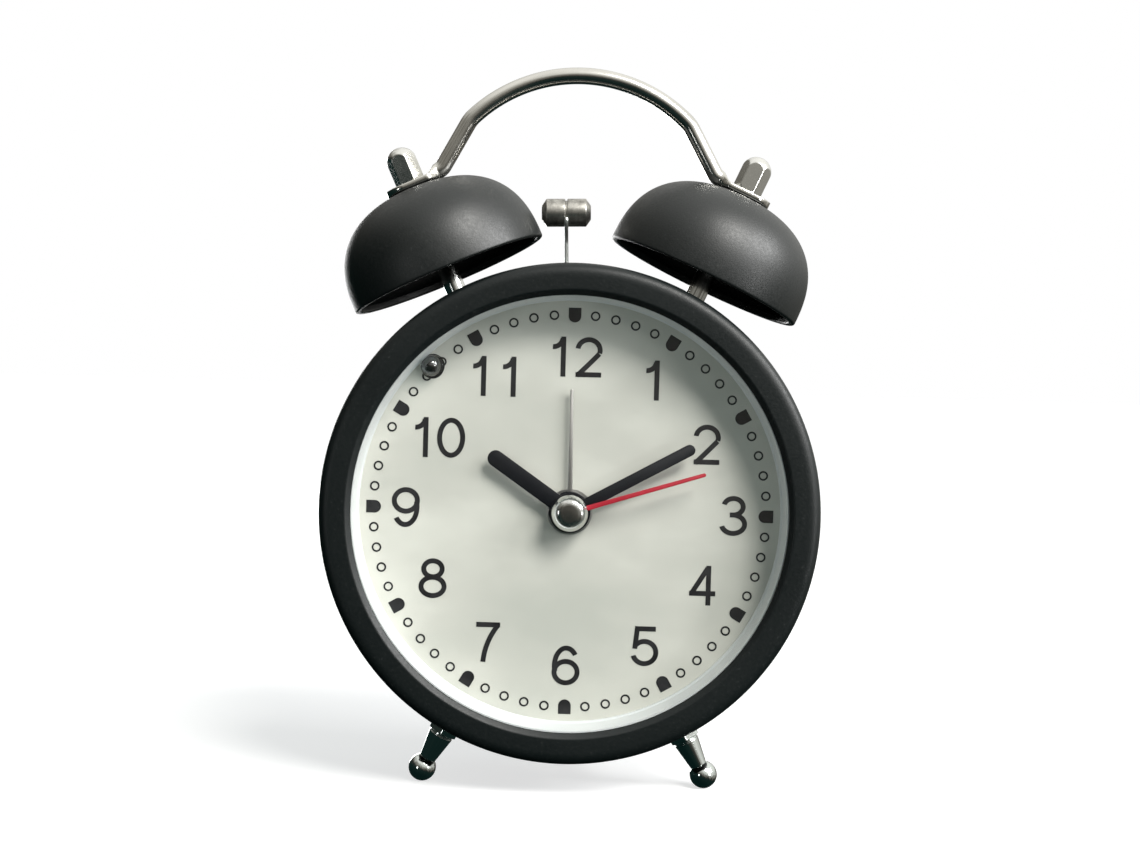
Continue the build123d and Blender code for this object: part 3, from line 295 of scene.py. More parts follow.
def slab(outline, front, thick, edge):
    """Flat plate from an outline of (x, z), its front edge bevelled; front faces -Y."""
    centre = Vector((sum(p[0] for p in outline), sum(p[1] for p in outline))) / len(outline)
    count = len(outline)
    inset = []
    for index, point in enumerate(outline):
        before = Vector(outline[index - 1])
        after = Vector(outline[(index + 1) % count])
        along = (after - before).normalized()
        normal = Vector((along.y, -along.x))
        if normal.dot(Vector(point) - centre) < 0:
            normal = -normal
        inset.append(Vector(point) - normal * edge)
    middle = [Vector(p).lerp(q, 0.3) for p, q in zip(outline, inset)]
    return loft(
        [
            upright(inset, front),
            upright(middle, front + 0.3 * edge),
            upright(outline, front + edge),
            upright(outline, front + thick),
        ]
    )


# ---- materials ----
# sockets of a Mix node that mixes colours
MIX_FACTOR = 0
MIX_FIRST = 6
MIX_SECOND = 7
MIX_RESULT = 2


class Nodes:
    """Short calls to build one node tree."""

    def __init__(self, name):
        self.material = bpy.data.materials.new(name)
        self.material.use_nodes = True
        self.tree = self.material.node_tree
        self.tree.nodes.clear()
        self.output = self.add("ShaderNodeOutputMaterial")
        self.place = self.add("ShaderNodeTexCoord").outputs["Object"]

    def add(self, kind, **settings):
        node = self.tree.nodes.new(kind)
        for key, value in settings.items():
            setattr(node, key, value)
        return node

    def link(self, source, target):
        self.tree.links.new(source, target)

    def stretched(self, scale):
        mapping = self.add("ShaderNodeMapping")
        mapping.inputs["Scale"].default_value = scale
        self.link(self.place, mapping.inputs["Vector"])
        return mapping.outputs["Vector"]

    def noise(self, scale, detail=3.0, vector=None, roughness=0.55):
        node = self.add("ShaderNodeTexNoise")
        node.inputs["Scale"].default_value = scale
        node.inputs["Detail"].default_value = detail
        node.inputs["Roughness"].default_value = roughness
        self.link(vector or self.place, node.inputs["Vector"])
        return node.outputs["Fac"]

    def ramp(self, source, low, high, start=0.3, end=0.7):
        node = self.add("ShaderNodeMapRange")
        node.inputs["From Min"].default_value = start
        node.inputs["From Max"].default_value = end
        node.inputs["To Min"].default_value = low
        node.inputs["To Max"].default_value = high
        self.link(source, node.inputs["Value"])
        return node.outputs["Result"]

    def colours(self, source, stops):
        node = self.add("ShaderNodeValToRGB")
        ramp = node.color_ramp
        while len(ramp.elements) < len(stops):
            ramp.elements.new(0.5)
        for element, (position, colour) in zip(ramp.elements, stops):
            element.position = position
            element.color = (*colour, 1)
        self.link(source, node.inputs["Fac"])
        return node.outputs["Color"]

    def bump(self, source, distance, strength=1.0, normal=None):
        node = self.add("ShaderNodeBump")
        node.inputs["Distance"].default_value = distance
        node.inputs["Strength"].default_value = strength
        self.link(source, node.inputs["Height"])
        if normal:
            self.link(normal, node.inputs["Normal"])
        return node.outputs["Normal"]

    def principled(self, **values):
        node = self.add("ShaderNodeBsdfPrincipled")
        for key, value in values.items():
            node.inputs[key.replace("_", " ")].default_value = value
        self.link(node.outputs["BSDF"], self.output.inputs["Surface"])
        return node


def grained(name, dark, light, rough, grain, depth, metallic=0.0, patch=40.0, stretch=None, **extra):
    """Surface with patchy colour, patchy gloss and a fine grain in its bump."""
    nodes = Nodes(name)
    vector = nodes.stretched(stretch) if stretch else None
    patches = nodes.noise(patch, 4.0, vector)
    fine = nodes.noise(grain, 2.0, vector)
    shader = nodes.principled(Metallic=metallic, **extra)
    nodes.link(nodes.colours(patches, [(0.3, dark), (0.7, light)]), shader.inputs["Base Color"])
    nodes.link(nodes.ramp(patches, rough[0], rough[1]), shader.inputs["Roughness"])
    nodes.link(nodes.bump(fine, depth), shader.inputs["Normal"])
    return nodes.material


def powder_coat(name, dark, light, gloss):
    """Matte black paint: fine orange peel, a cloudy sheen and scattered pale specks."""
    nodes = Nodes(name)
    peel = nodes.noise(2400, 3.0)
    cloud = nodes.noise(24, 4.0)
    grit = nodes.noise(1300, 2.0)
    shader = nodes.principled(Specular_IOR_Level=gloss)
    base = nodes.colours(cloud, [(0.3, dark), (0.7, light)])
    speck = nodes.ramp(grit, 0.0, 0.7, 0.66, 0.80)
    mix = nodes.add("ShaderNodeMix", data_type="RGBA")
    mix.inputs[MIX_SECOND].default_value = (0.022, 0.025, 0.024, 1)
    nodes.link(speck, mix.inputs[MIX_FACTOR])
    nodes.link(base, mix.inputs[MIX_FIRST])
    nodes.link(mix.outputs[MIX_RESULT], shader.inputs["Base Color"])
    sheen = nodes.add("ShaderNodeMath", operation="MULTIPLY_ADD")
    sheen.inputs[1].default_value = 0.10
    nodes.link(nodes.ramp(grit, 0.0, 1.0), sheen.inputs[0])
    nodes.link(nodes.ramp(cloud, 0.36, 0.43), sheen.inputs[2])
    nodes.link(sheen.outputs["Value"], shader.inputs["Roughness"])
    nodes.link(nodes.bump(peel, 0.00004, 0.7), shader.inputs["Normal"])
    return nodes.material


def chrome(name="polished_chrome", rough=(0.06, 0.14), tint=(0.70, 0.71, 0.69), depth=0.000004):
    """Plated metal with faint smears and hairline ripples."""
    nodes = Nodes(name)
    smear = nodes.noise(55, 5.0)
    ripple = nodes.noise(700, 2.0, nodes.stretched((1.0, 1.0, 0.35)))
    shader = nodes.principled(Metallic=1.0)
    shade = tuple(0.86 * value for value in tint)
    nodes.link(nodes.colours(smear, [(0.3, shade), (0.65, tint)]), shader.inputs["Base Color"])
    nodes.link(nodes.ramp(smear, rough[0], rough[1]), shader.inputs["Roughness"])
    nodes.link(nodes.bump(ripple, depth), shader.inputs["Normal"])
    return nodes.material


def worn_steel():
    """Turned steel of the hammer: blotched, pitted and scored round its axis."""
    nodes = Nodes("hammer_steel")
    blotch = nodes.noise(420, 5.0, roughness=0.7)
    scores = nodes.noise(2200, 2.0, nodes.stretched((1.0, 0.06, 0.06)))
    shader = nodes.principled(Metallic=1.0)
    stops = [(0.34, (0.20, 0.195, 0.18)), (0.5, (0.38, 0.37, 0.34)), (0.66, (0.60, 0.59, 0.55))]
    nodes.link(nodes.colours(blotch, stops), shader.inputs["Base Color"])
    nodes.link(nodes.ramp(blotch, 0.42, 0.26), shader.inputs["Roughness"])
    pits = nodes.bump(blotch, 0.00005, 0.5)
    nodes.link(nodes.bump(scores, 0.00002, 0.6, pits), shader.inputs["Normal"])
    return nodes.material


def dial_card():
    """Off-white satin dial with large lighter and darker cloudy patches: painted reflections of the lens over
    it.
    """
    nodes = Nodes("dial_satin_white")
    # painted reflection: large noise patches lighten and darken the dial's colour
    cloud = nodes.noise(22, 4.0, nodes.stretched((0.8, 1.0, 1.5)))
    tooth = nodes.noise(3500, 2.0)
    shader = nodes.principled(Specular_IOR_Level=0.35)
    stops = [
        (0.32, (0.530, 0.540, 0.485)),
        (0.5, (0.610, 0.610, 0.550)),
        (0.68, (0.735, 0.735, 0.665)),
    ]
    nodes.link(nodes.colours(cloud, stops), shader.inputs["Base Color"])
    nodes.link(nodes.ramp(cloud, 0.42, 0.55), shader.inputs["Roughness"])
    nodes.link(nodes.bump(tooth, 0.00001, 0.4), shader.inputs["Normal"])
    return nodes.material


def clear_sheet(name, tint=(1, 1, 1), facing_on=0.02, edge_on=0.85):
    """Thin clear sheet: light passes straight through, with a mirror film that grows at the rim."""
    nodes = Nodes(name)
    smear = nodes.noise(30, 4.0)
    through = nodes.add("ShaderNodeBsdfTransparent")
    through.inputs["Color"].default_value = (*tint, 1)
    mirror = nodes.add("ShaderNodeBsdfGlossy")
    mirror.inputs["Color"].default_value = (1, 1, 1, 1)
    nodes.link(nodes.ramp(smear, 0.03, 0.08), mirror.inputs["Roughness"])
    weight = nodes.add("ShaderNodeLayerWeight")
    weight.inputs["Blend"].default_value = 0.5
    curve = nodes.add("ShaderNodeMath", operation="POWER")
    curve.inputs[1].default_value = 5.0
    nodes.link(weight.outputs["Facing"], curve.inputs[0])
    mix = nodes.add("ShaderNodeMixShader")
    nodes.link(nodes.ramp(curve.outputs["Value"], facing_on, edge_on, 0.0, 1.0), mix.inputs["Fac"])
    nodes.link(through.outputs["BSDF"], mix.inputs[1])
    nodes.link(mirror.outputs["BSDF"], mix.inputs[2])
    nodes.link(mix.outputs["Shader"], nodes.output.inputs["Surface"])
    return nodes.material


# Arguments of grained: dark and light colour, gloss range, grain scale, grain depth, metal, patch scale.
# lit and shaded copies of one black paint: the bells' copy is lighter and glossier, painted light; the
# bezel's and case's copy is darker and duller, painted shade
LIT_BELL_COAT = powder_coat("bell_coat_lit_copy", (0.0030, 0.0048, 0.0047), (0.0044, 0.0064, 0.0062), 0.56)
SHADED_BLACK_COAT = powder_coat("black_powder_coat_shaded_copy", (0.0020, 0.0040, 0.0042), (0.0030, 0.0054, 0.0055), 0.34)
CHROME = chrome()
WIRE_CHROME = chrome("wire_chrome", (0.12, 0.24), (0.68, 0.67, 0.63), 0.000012)
NUT_CHROME = chrome("nut_chrome", (0.10, 0.22), (0.76, 0.76, 0.73), 0.00001)
ROD_STEEL = chrome("rod_steel", (0.30, 0.42), (0.84, 0.88, 0.85), 0.000006)
DARK_CHROME = chrome("foot_chrome", (0.05, 0.13), (0.66, 0.70, 0.68))
STEEL = worn_steel()
DIAL = dial_card()
LENS = clear_sheet("lens_glass")
RESIN = clear_sheet("lamp_resin", (0.86, 0.90, 0.90), 0.12, 0.95)
WHITE_RING = grained("white_ring", (0.66, 0.69, 0.70), (0.72, 0.745, 0.745), (0.30, 0.40), 1800, 0.00001)
INK = grained(
    "dial_ink", (0.008, 0.008, 0.009), (0.016, 0.016, 0.018), (0.35, 0.55), 3000, 0.00002, patch=300
)
HAND_BLACK = grained(
    "hand_black",
    (0.005, 0.006, 0.008),
    (0.009, 0.010, 0.013),
    (0.34, 0.46),
    2500,
    0.00001,
    Specular_IOR_Level=0.28,
)
HAND_RED = grained(
    "hand_red", (0.34, 0.010, 0.022), (0.44, 0.016, 0.034), (0.32, 0.45), 2500, 0.00001, patch=200
)
HAND_SILVER = grained(
    "hand_silver",
    (0.42, 0.42, 0.41),
    (0.55, 0.55, 0.53),
    (0.30, 0.42),
    1500,
    0.00001,
    1.0,
    200,
    (1, 1, 0.1),
)
BLACK_PLASTIC = grained(
    "black_plastic", (0.012, 0.013, 0.013), (0.020, 0.021, 0.021), (0.45, 0.60), 1600, 0.00006
)
KNOB_PLASTIC = grained(
    "knob_plastic", (0.015, 0.015, 0.016), (0.025, 0.025, 0.026), (0.30, 0.42), 2200, 0.00002
)
RUBBER = grained("foot_rubber", (0.010, 0.010, 0.010), (0.018, 0.018, 0.018), (0.65, 0.80), 1200, 0.00006)
KEY_PLASTIC = grained("key_plastic", (0.62, 0.62, 0.58), (0.70, 0.70, 0.66), (0.30, 0.42), 1800, 0.00002)
MOVEMENT = grained("movement_plastic", (0.42, 0.43, 0.42), (0.52, 0.53, 0.51), (0.45, 0.60), 1200, 0.00004)
WHEEL = grained("wheel_acetal", (0.70, 0.68, 0.58), (0.80, 0.78, 0.68), (0.32, 0.45), 1500, 0.00002)
PLATED = grained(
    "plated_steel", (0.38, 0.38, 0.37), (0.55, 0.55, 0.54), (0.28, 0.45), 1400, 0.00002, 1.0, 120
)
BRASS = grained("turned_brass", (0.50, 0.36, 0.13), (0.68, 0.52, 0.22), (0.22, 0.38), 1500, 0.00002, 1.0, 120)
COPPER = grained("enamelled_copper", (0.42, 0.14, 0.06), (0.62, 0.24, 0.10), (0.25, 0.40), 2500, 0.00008, 1.0)
BOARD = grained("green_laminate", (0.01, 0.08, 0.03), (0.02, 0.13, 0.05), (0.35, 0.50), 900, 0.00002)
JACKET = grained("cell_jacket", (0.06, 0.09, 0.16), (0.09, 0.13, 0.22), (0.22, 0.32), 900, 0.00001)
SOCKET = grained("lamp_cup", (0.02, 0.025, 0.025), (0.16, 0.18, 0.18), (0.08, 0.20), 900, 0.00002, 1.0, 500)
# painted shadow: near-black, dull ring that stands for the shade in the gap round the lamp
HOLE_SHADOW = grained("lamp_hole_painted_shadow", (0.002, 0.002, 0.002), (0.005, 0.005, 0.005), (0.7, 0.9), 900, 0.00002)

NODES_BY_MATERIAL = [
    (DIAL, ["dial_plate"]),
    (INK, ["dial_numerals", "dial_hour_markers", "dial_minute_rings"]),
    (LENS, ["front_lens"]),
    (BLACK_PLASTIC, ["rear_cover", "battery_door"]),
    (KEY_PLASTIC, ["light_button", "alarm_switch"]),
    (KNOB_PLASTIC, ["time_set_knob", "alarm_set_knob"]),
    (SHADED_BLACK_COAT, ["case_shell"]),
    (RUBBER, ["rear_foot"]),
    (WHEEL, ["alarm_wheel", "hour_wheel", "centre_wheel", "second_wheel", "third_wheel", "fifth_wheel"]),
    (WHEEL, ["rotor", "minute_wheel", "time_set_shaft", "alarm_set_shaft", "striker_gear"]),
    (MOVEMENT, ["movement_front_plate", "movement_back_case", "hammer_arm"]),
    (PLATED, ["rear_cover_screws", "case_nuts", "stator", "hammer_pivot_pin", "striker_motor"]),
    (PLATED, ["striker_bracket", "battery_contacts", "battery_springs"]),
    (COPPER, ["coil"]),
    (BOARD, ["circuit_board"]),
    (BRASS, ["motor_pinion"]),
    (JACKET, ["battery_cells"]),
]


def dress_nodes():
    """Give each carried-over node its material."""
    for material, names in NODES_BY_MATERIAL:
        for name in names:
            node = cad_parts[name]
            node.data.materials.clear()
            node.data.materials.append(material)


# ---- case ----
def make_bezel():
    """Broad ring: thin inner lip, gently sloped face, full round outer edge."""
    profile = soften(
        [
            (OPENING_R, LENS_BACK - 1.6, 0),
            (OPENING_R, BEZEL_FRONT + 1.0, 0.5),
            (OPENING_R + 1.2, BEZEL_FRONT + 0.02, 0.9),
            (BEZEL_R, BEZEL_FRONT, 3.6),
            (BEZEL_R, 5.0, 1.3),
            (CASE_R + 0.05, 5.0, 0),
            (CASE_R + 0.05, CASE_FRONT + 0.1, 0),
            (OPENING_R + 2.6, CASE_FRONT - 2.6, 0),
            (OPENING_R + 2.6, LENS_BACK - 1.6, 0),
        ],
        closed=True,
        steps=10,
    )
    turned_piece("bezel", profile, facing(), "clock", SHADED_BLACK_COAT, ["front_bezel"], 256, closed=True, sharp=40)


def make_inner_ring():
    """White tapered wall between the lens and the dial, with a rounded step at its foot."""
    profile = soften(
        [
            (OPENING_R, LENS_BACK + 0.02, 0),
            (OPENING_R - 0.05, LENS_BACK + 0.8, 0.2),
            (RING_BACK_R + 0.35, DIAL_Y - 1.4, 0.3),
            (RING_BACK_R, DIAL_Y - 0.9, 0.25),
            (RING_BACK_R, DIAL_Y, 0),
            (CASE_R - 1.1, DIAL_Y, 0),
            (CASE_R - 1.1, CASE_FRONT + 0.1, 0),
            (OPENING_R + 2.0, CASE_FRONT + 0.1, 0),
            (OPENING_R + 2.0, LENS_BACK + 0.02, 0),
        ],
        closed=True,
        steps=4,
    )
    turned_piece("ring", profile, facing(), "clock", WHITE_RING, ["inner_ring"], 256, closed=True)


# ---- bells ----
def superellipse(radius, height, steps):
    """Profile from the rim up to the crown."""
    power = 2 / 2.5
    points = []
    for step in range(steps + 1):
        turn = pi / 2 * step / steps
        points.append((radius * max(cos(turn), 0.0) ** power, height * sin(turn) ** power))
    return points


def make_bell(side, word):
    """Pressed dome with a rim folded slightly inward."""
    outside_start = 0.7
    inside_start = 1.8
    inner_r = BELL_R - BELL_WALL
    inner_height = BELL_HEIGHT - BELL_WALL
    outer = superellipse(BELL_R, BELL_HEIGHT, 56)
    outer = [(r, h) for r, h in outer if r > BELL_HOLE_R and h > outside_start]
    inner = superellipse(inner_r, inner_height, 40)
    inner = [(r, h) for r, h in inner if r > BELL_HOLE_R and h > inside_start]
    fold = soften(
        [
            (inner_r - 0.02, inside_start, 0),
            (inner_r - 0.5, 1.1, 0.5),
            (inner_r - 0.5, -0.5, 0.5),
            (BELL_R - 0.02, -0.55, 0.9),
            (BELL_R, outside_start, 0),
        ]
    )
    crown = [(BELL_HOLE_R, BELL_HEIGHT), (BELL_HOLE_R, inner_height)]
    profile = fold[1:-1] + outer + crown + inner[::-1]
    name = f"bell_dome_{word}"
    replaced = [f"bell_{word}"]
    turned_piece(name, profile, bell_place(side), "clock", LIT_BELL_COAT, replaced, 192, closed=True, sharp=50)


def hexagon_reach(turn, flats):
    """Distance from the axis to the flat of a hexagonal bar, a corner lying at turn 0."""
    return flats / 2 / cos((turn % (pi / 3)) - pi / 6)


def make_cap_nut(side, word):
    """Long hexagonal nut with a hemispherical end; each flat runs up into the dome in an arch."""
    corner = NUT_FLATS / 2 / cos(pi / 6)
    dome_start = NUT_LENGTH - corner
    chamfer = 0.3
    heights = [0, 0.12, chamfer] + [chamfer + (dome_start - chamfer) * k / 8 for k in range(1, 9)]
    heights += [dome_start + corner * sin(pi / 2 * k / 26) for k in range(1, 27)]
    rings = []
    for height in heights:
        over = max(0.0, height - dome_start)
        dome = sqrt(max(corner * corner - over * over, 0.0))
        dome = min(dome, corner - chamfer + height)
        ring = []
        for step in range(180):
            turn = 2 * pi * step / 180
            flat = min(hexagon_reach(turn, NUT_FLATS), corner * 0.985)
            radius = max(min(flat, dome), TINY_R)
            ring.append((radius * cos(turn), radius * sin(turn), height))
        rings.append(ring)
    vertices, faces = loft(rings)
    place = bell_place(side) @ moved(0, 0, TAB_FOOT + TAB_THICK) @ turned("Z", NUT_SPIN[side])
    mesh_piece(f"domed_nut_{word}", vertices, faces, place, "clock", NUT_CHROME, 22, [f"cap_nut_{word}"])


def make_post(side, word):
    """Plated post with a shoulder at the crown and a bare stud through the nut."""
    crown = BELL_HEIGHT - BELL_WALL - 0.06
    stud_foot = -12.6
    post_foot = -9.0
    stud_tip = TAB_FOOT + TAB_THICK + 4.8
    profile = [
        (0, stud_foot),
        (STUD_R, stud_foot),
        (STUD_R, post_foot),
        (POST_R, post_foot),
        (POST_R, crown - 0.3),
        (POST_R - 0.3, crown),
        (STUD_R, crown),
        (STUD_R, stud_tip),
        (0, stud_tip),
    ]
    turned_piece(f"plated_post_{word}", profile, bell_place(side), "clock", CHROME, [f"bell_post_{word}"], 64)


# ---- handle ----
def handle_side():
    """Centre line of the handle's right half, as (point, tangent angle), with the tab's start and nut."""
    tilt = radians(BELL_TILT)
    lean = radians(LEG_TILT)
    bend = Vector(
        (
            BELL_X + WIRE_HEIGHT * sin(tilt) - BEND_REACH * cos(tilt),
            BELL_Z + WIRE_HEIGHT * cos(tilt) + BEND_REACH * sin(tilt),
        )
    )
    down = Vector((sin(lean), -cos(lean)))
    out = Vector((cos(tilt), -sin(tilt)))
    inward = Vector((-cos(lean), -sin(lean)))
    base = bend + SHOULDER_R * inward - Vector((0, ARCH_Z))
    along = base.dot(-down)
    travel = -along + sqrt(along**2 + (ARCH_R - SHOULDER_R) ** 2 - base.length_squared)
    centre = base - travel * down
    arch_angle = atan2(centre.y, centre.x)
    points = []
    for step in range(61):
        turn = pi / 2 + (arch_angle - pi / 2) * step / 60
        points.append((Vector((ARCH_R * cos(turn), ARCH_Z + ARCH_R * sin(turn))), turn - pi / 2))
    for step in range(1, 13):
        turn = arch_angle + (lean - arch_angle) * step / 12
        place = centre + Vector((SHOULDER_R * cos(turn), ARCH_Z + SHOULDER_R * sin(turn)))
        points.append((place, turn - pi / 2))
    half_turn = (pi / 2 - lean - tilt) / 2
    trim = BEND_R * sin(half_turn) / cos(half_turn)
    leg_top = points[-1][0]
    leg_end = bend - trim * down
    for step in range(1, 9):
        points.append((leg_top.lerp(leg_end, step / 8), lean - pi / 2))
    bend_centre = leg_end - BEND_R * inward
    for step in range(1, 11):
        turn = lean + (pi / 2 - tilt - lean) * step / 10
        points.append((bend_centre - BEND_R * Vector((cos(turn), sin(turn))), turn - pi / 2))
    start = points[-1][0]
    nut_reach = BEND_REACH - trim
    tab_end = nut_reach + NUT_TO_TAB_END + TAB_HALF
    for step in range(1, 41):
        reach = tab_end * (1 - (1 - step / 40) ** 1.6)
        points.append((start + reach * out, -tilt))
    return points, start, nut_reach


def wire_ring(place, angle, width, height, power, drop):
    """One ring of the handle: a superellipse across the wire."""
    ring = []
    normal = Vector((-sin(angle), cos(angle)))
    for step in range(40):
        turn = 2 * pi * step / 40
        c = cos(turn)
        s = sin(turn)
        across = width * (abs(c) ** (2 / power)) * (1 if c >= 0 else -1)
        up = height * (abs(s) ** (2 / power)) * (1 if s >= 0 else -1) + drop
        spot = place + normal * up
        ring.append((spot.x, across, spot.y))
    return ring


def make_handle():
    """Wire handle whose ends are pressed flat round the bell studs."""
    points, start, nut_reach = handle_side()
    half = TAB_THICK / 2
    lowest = TAB_FOOT + half - WIRE_HEIGHT
    rings = []
    for place, angle in points:
        reach = (place - start).length if place.x > start.x else 0.0
        press = min(max(reach / PRESS_REACH, 0.0), 1.0)
        press = press * press * (3 - 2 * press)
        width = WIRE_R + (TAB_HALF - WIRE_R) * press
        over = reach - (nut_reach + NUT_TO_TAB_END)
        if over > 0:
            width = sqrt(max(TAB_HALF**2 - over**2, 0.02))
        height = WIRE_R + (half - WIRE_R) * press
        rings.append(wire_ring(place, angle, width, height, 2 + 3.5 * press, lowest * press))
    mirrored = [[(-x, y, z) for x, y, z in ring] for ring in rings[:0:-1]]
    vertices, faces = loft(mirrored + rings)
    place = moved(0, BELL_Y, 0)
    mesh_piece("wire_handle", vertices, faces, place, "clock", WIRE_CHROME, 40, ["carry_handle"])


# ---- feet ----
def make_foot(side, word):
    """Foot with a six-sided collar at the case, a groove, a taper and a ball."""
    profile = soften(
        [
            (COLLAR_R, CASE_R - 2.4, 0),
            (COLLAR_R, COLLAR_END, 0.25),
            (3.25, COLLAR_END + 0.3, 0.1),
            (2.85, COLLAR_END + 0.4, 0.1),
            (2.85, COLLAR_END + 0.75, 0.1),
            (3.05, COLLAR_END + 0.95, 0.2),
            (2.0, BALL_DISTANCE - 2.5, 0.2),
        ],
        steps=6,
    )
    for step in range(40):
        turn = radians(FOOT_NECK - FOOT_NECK * step / 39)
        profile.append((max(BALL_R * sin(turn), TINY_R), BALL_DISTANCE + BALL_R * cos(turn)))
    rings = []
    for radius, height in profile:
        ring = []
        for step in range(96):
            turn = 2 * pi * step / 96
            flat = hexagon_reach(turn + pi / 6, FOOT_FLATS)
            reach = min(radius, flat) if height < COLLAR_END + 0.3 else radius
            ring.append((reach * cos(turn), reach * sin(turn), height))
        rings.append(ring)
    vertices, faces = loft(rings)
    place = foot_place(side)
    mesh_piece(f"turned_foot_{word}", vertices, faces, place, "clock", DARK_CHROME, 28, [f"foot_{word}"])


# ---- hammer ----
def make_hammer():
    """Steel barrel with a groove round its middle, and the wire that runs up in front of it."""
    profile = soften(
        [
            (0, -BARREL_HALF, 0),
            (HAMMER_R - 1.7, -BARREL_HALF, 0.2),
            (HAMMER_R, -BARREL_HALF + 1.2, 0.25),
            (HAMMER_R, -0.3, 0.12),
            (HAMMER_R - 0.45, -0.25, 0),
            (HAMMER_R - 0.45, 0.25, 0),
            (HAMMER_R, 0.3, 0.12),
            (HAMMER_R, BARREL_HALF - 1.2, 0.25),
            (HAMMER_R - 1.7, BARREL_HALF, 0.2),
            (0, BARREL_HALF, 0),
        ],
        steps=5,
    )
    lean = degrees(atan2(HAMMER_X - PIVOT_X, HAMMER_Z - PIVOT_Z))
    barrel_place = moved(HAMMER_X, BELL_Y, HAMMER_Z) @ turned("Y", lean + 90)
    turned_piece("hammer_barrel", profile, barrel_place, "hammer", STEEL, ["hammer_head"], 96)
    length = hypot(HAMMER_X - PIVOT_X, HAMMER_Z - PIVOT_Z)
    seat = HAMMER_R + 0.1
    bend = length - seat - 4.0
    line = [Vector((0, 0, 1.2)), Vector((0, 0, bend))]
    for step in range(1, 13):
        t = step / 12
        ease = t * t * (3 - 2 * t)
        line.append(Vector((0, -seat * ease, bend + (seat + 2.2) * t)))
    line.append(Vector((0, -seat, length - 1.5)))
    rings = []
    for index, place in enumerate(line):
        before = line[max(index - 1, 0)]
        after = line[min(index + 1, len(line) - 1)]
        along = (after - before).normalized()
        side = Vector((1, 0, 0))
        other = along.cross(side)
        ring_r = ROD_R * (0.55 if index == len(line) - 1 else 1.0)
        turns = [2 * pi * k / 20 for k in range(20)]
        rings.append([tuple(place + ring_r * (side * cos(turn) + other * sin(turn))) for turn in turns])
    vertices, faces = loft(rings)
    rod_place = moved(PIVOT_X, BELL_Y, PIVOT_Z) @ turned("Y", lean)
    mesh_piece("hammer_wire", vertices, faces, rod_place, "hammer", ROD_STEEL, 40, ["hammer_rod"])


# ---- hands ----
def bar_outline(length, root, tip, boss_r):
    """Outline of a hand pointing up: round boss, straight sides, round tip."""
    boss_steps = 28
    tip_steps = 14
    tip_r = tip / 2
    start = atan2(sqrt(boss_r**2 - (root / 2) ** 2), root / 2)
    sweep = pi + 2 * start
    boss_turns = [start - sweep * step / boss_steps for step in range(boss_steps + 1)]
    tip_turns = [pi - pi * step / tip_steps for step in range(tip_steps + 1)]
    boss = [(boss_r * cos(turn), boss_r * sin(turn)) for turn in boss_turns]
    return boss + [(tip_r * cos(turn), length - tip_r + tip_r * sin(turn)) for turn in tip_turns]


# piece, node, body, length, width at the boss, width at the tip, boss radius, front, angle, material
HANDS = [
    ("alarm_pointer", "alarm_hand", "alarm_train", 29.1, 1.2, 0.8, 5.4, 5.6, 359.5, HAND_SILVER),
    ("hour_pointer", "hour_hand", "hour_train", 23.6, 3.9, 3.9, 4.9, 4.4, 304.6, HAND_BLACK),
    ("minute_pointer", "minute_hand", "minute_train", 33.2, 2.7, 2.7, 4.6, 3.2, 61.0, HAND_BLACK),
    ("second_pointer", "second_hand", "second_train", 33.3, 1.2, 0.9, 2.0, 2.0, 72.7, HAND_RED),
]


def make_hands():
    """Four bevelled hands, each at the angle of the time shown, and the domed cap over them."""
    for name, node, body, length, root, tip, boss_r, front, angle, material in HANDS:
        vertices, faces = slab(bar_outline(length, root, tip, boss_r), front, HAND_THICK, HAND_EDGE)
        mesh_piece(name, vertices, faces, turned("Y", angle), body, material, 30, [node])
    cap = soften([(0, 2.0, 0), (4.3, 2.0, 0.25), (4.3, 1.2, 1.3), (3.0, -0.55, 2.6), (0, -0.6, 0)], steps=14)
    turned_piece("domed_cap", cap, facing(), "second_train", CHROME, ["hand_cap"], 96, sharp=50)


# ---- dial lamp ----
def make_lamp():
    """Clear 5 mm lamp standing in its hole, with the reflector cup inside, and a near-black ring round it in
    the hole, set a little to the right: painted shadow in the gap.
    """
    x, z = polar(LAMP_RADIUS, LAMP_ANGLE)
    place = facing(0, x - 0.3, z + 0.25)
    # the painted-shadow ring sits 0.4 mm right of the lamp, so a dark crescent shows on its right
    shadow_ring_place = facing(0, x + 0.1, z + 0.3)
    centre = DIAL_Y - LAMP_STAND + LAMP_R
    flange_front = DIAL_Y + 1.4
    flange_back = DIAL_Y + 2.4
    flange_r = LAMP_R + 0.4
    dome = [(LAMP_R * sin(pi / 2 * k / 16), centre - LAMP_R * cos(pi / 2 * k / 16)) for k in range(17)]
    flange = [(LAMP_R, flange_front), (flange_r, flange_front), (flange_r, flange_back), (0, flange_back)]
    turned_piece("lamp_dome", dome + flange, place, "clock", RESIN, ["led_lamp"], 64)
    cup = soften(
        [
            (0, DIAL_Y - 0.4, 0),
            (0.5, DIAL_Y - 0.4, 0.1),
            (1.75, DIAL_Y - 1.7, 0.1),
            (2.05, DIAL_Y - 1.7, 0.1),
            (2.05, DIAL_Y + 2.3, 0.1),
            (0, DIAL_Y + 2.3, 0),
        ],
        steps=4,
    )
    cup_piece = turned_piece("lamp_cup", cup, place, "clock", SOCKET, (), 48)
    # near-black ring in the hole round the lamp: painted shadow
    shadow_ring = [
        (LAMP_R + 0.3, DIAL_Y - 0.03),
        (LAMP_R + 0.3, DIAL_Y + 2.0),
        (LAMP_R + 0.05, DIAL_Y + 2.0),
        (LAMP_R + 0.05, DIAL_Y - 0.03),
    ]
    shadow_ring_piece = turned_piece("lamp_hole_shadow_ring", shadow_ring, shadow_ring_place, "clock", HOLE_SHADOW, (), 64, closed=True)


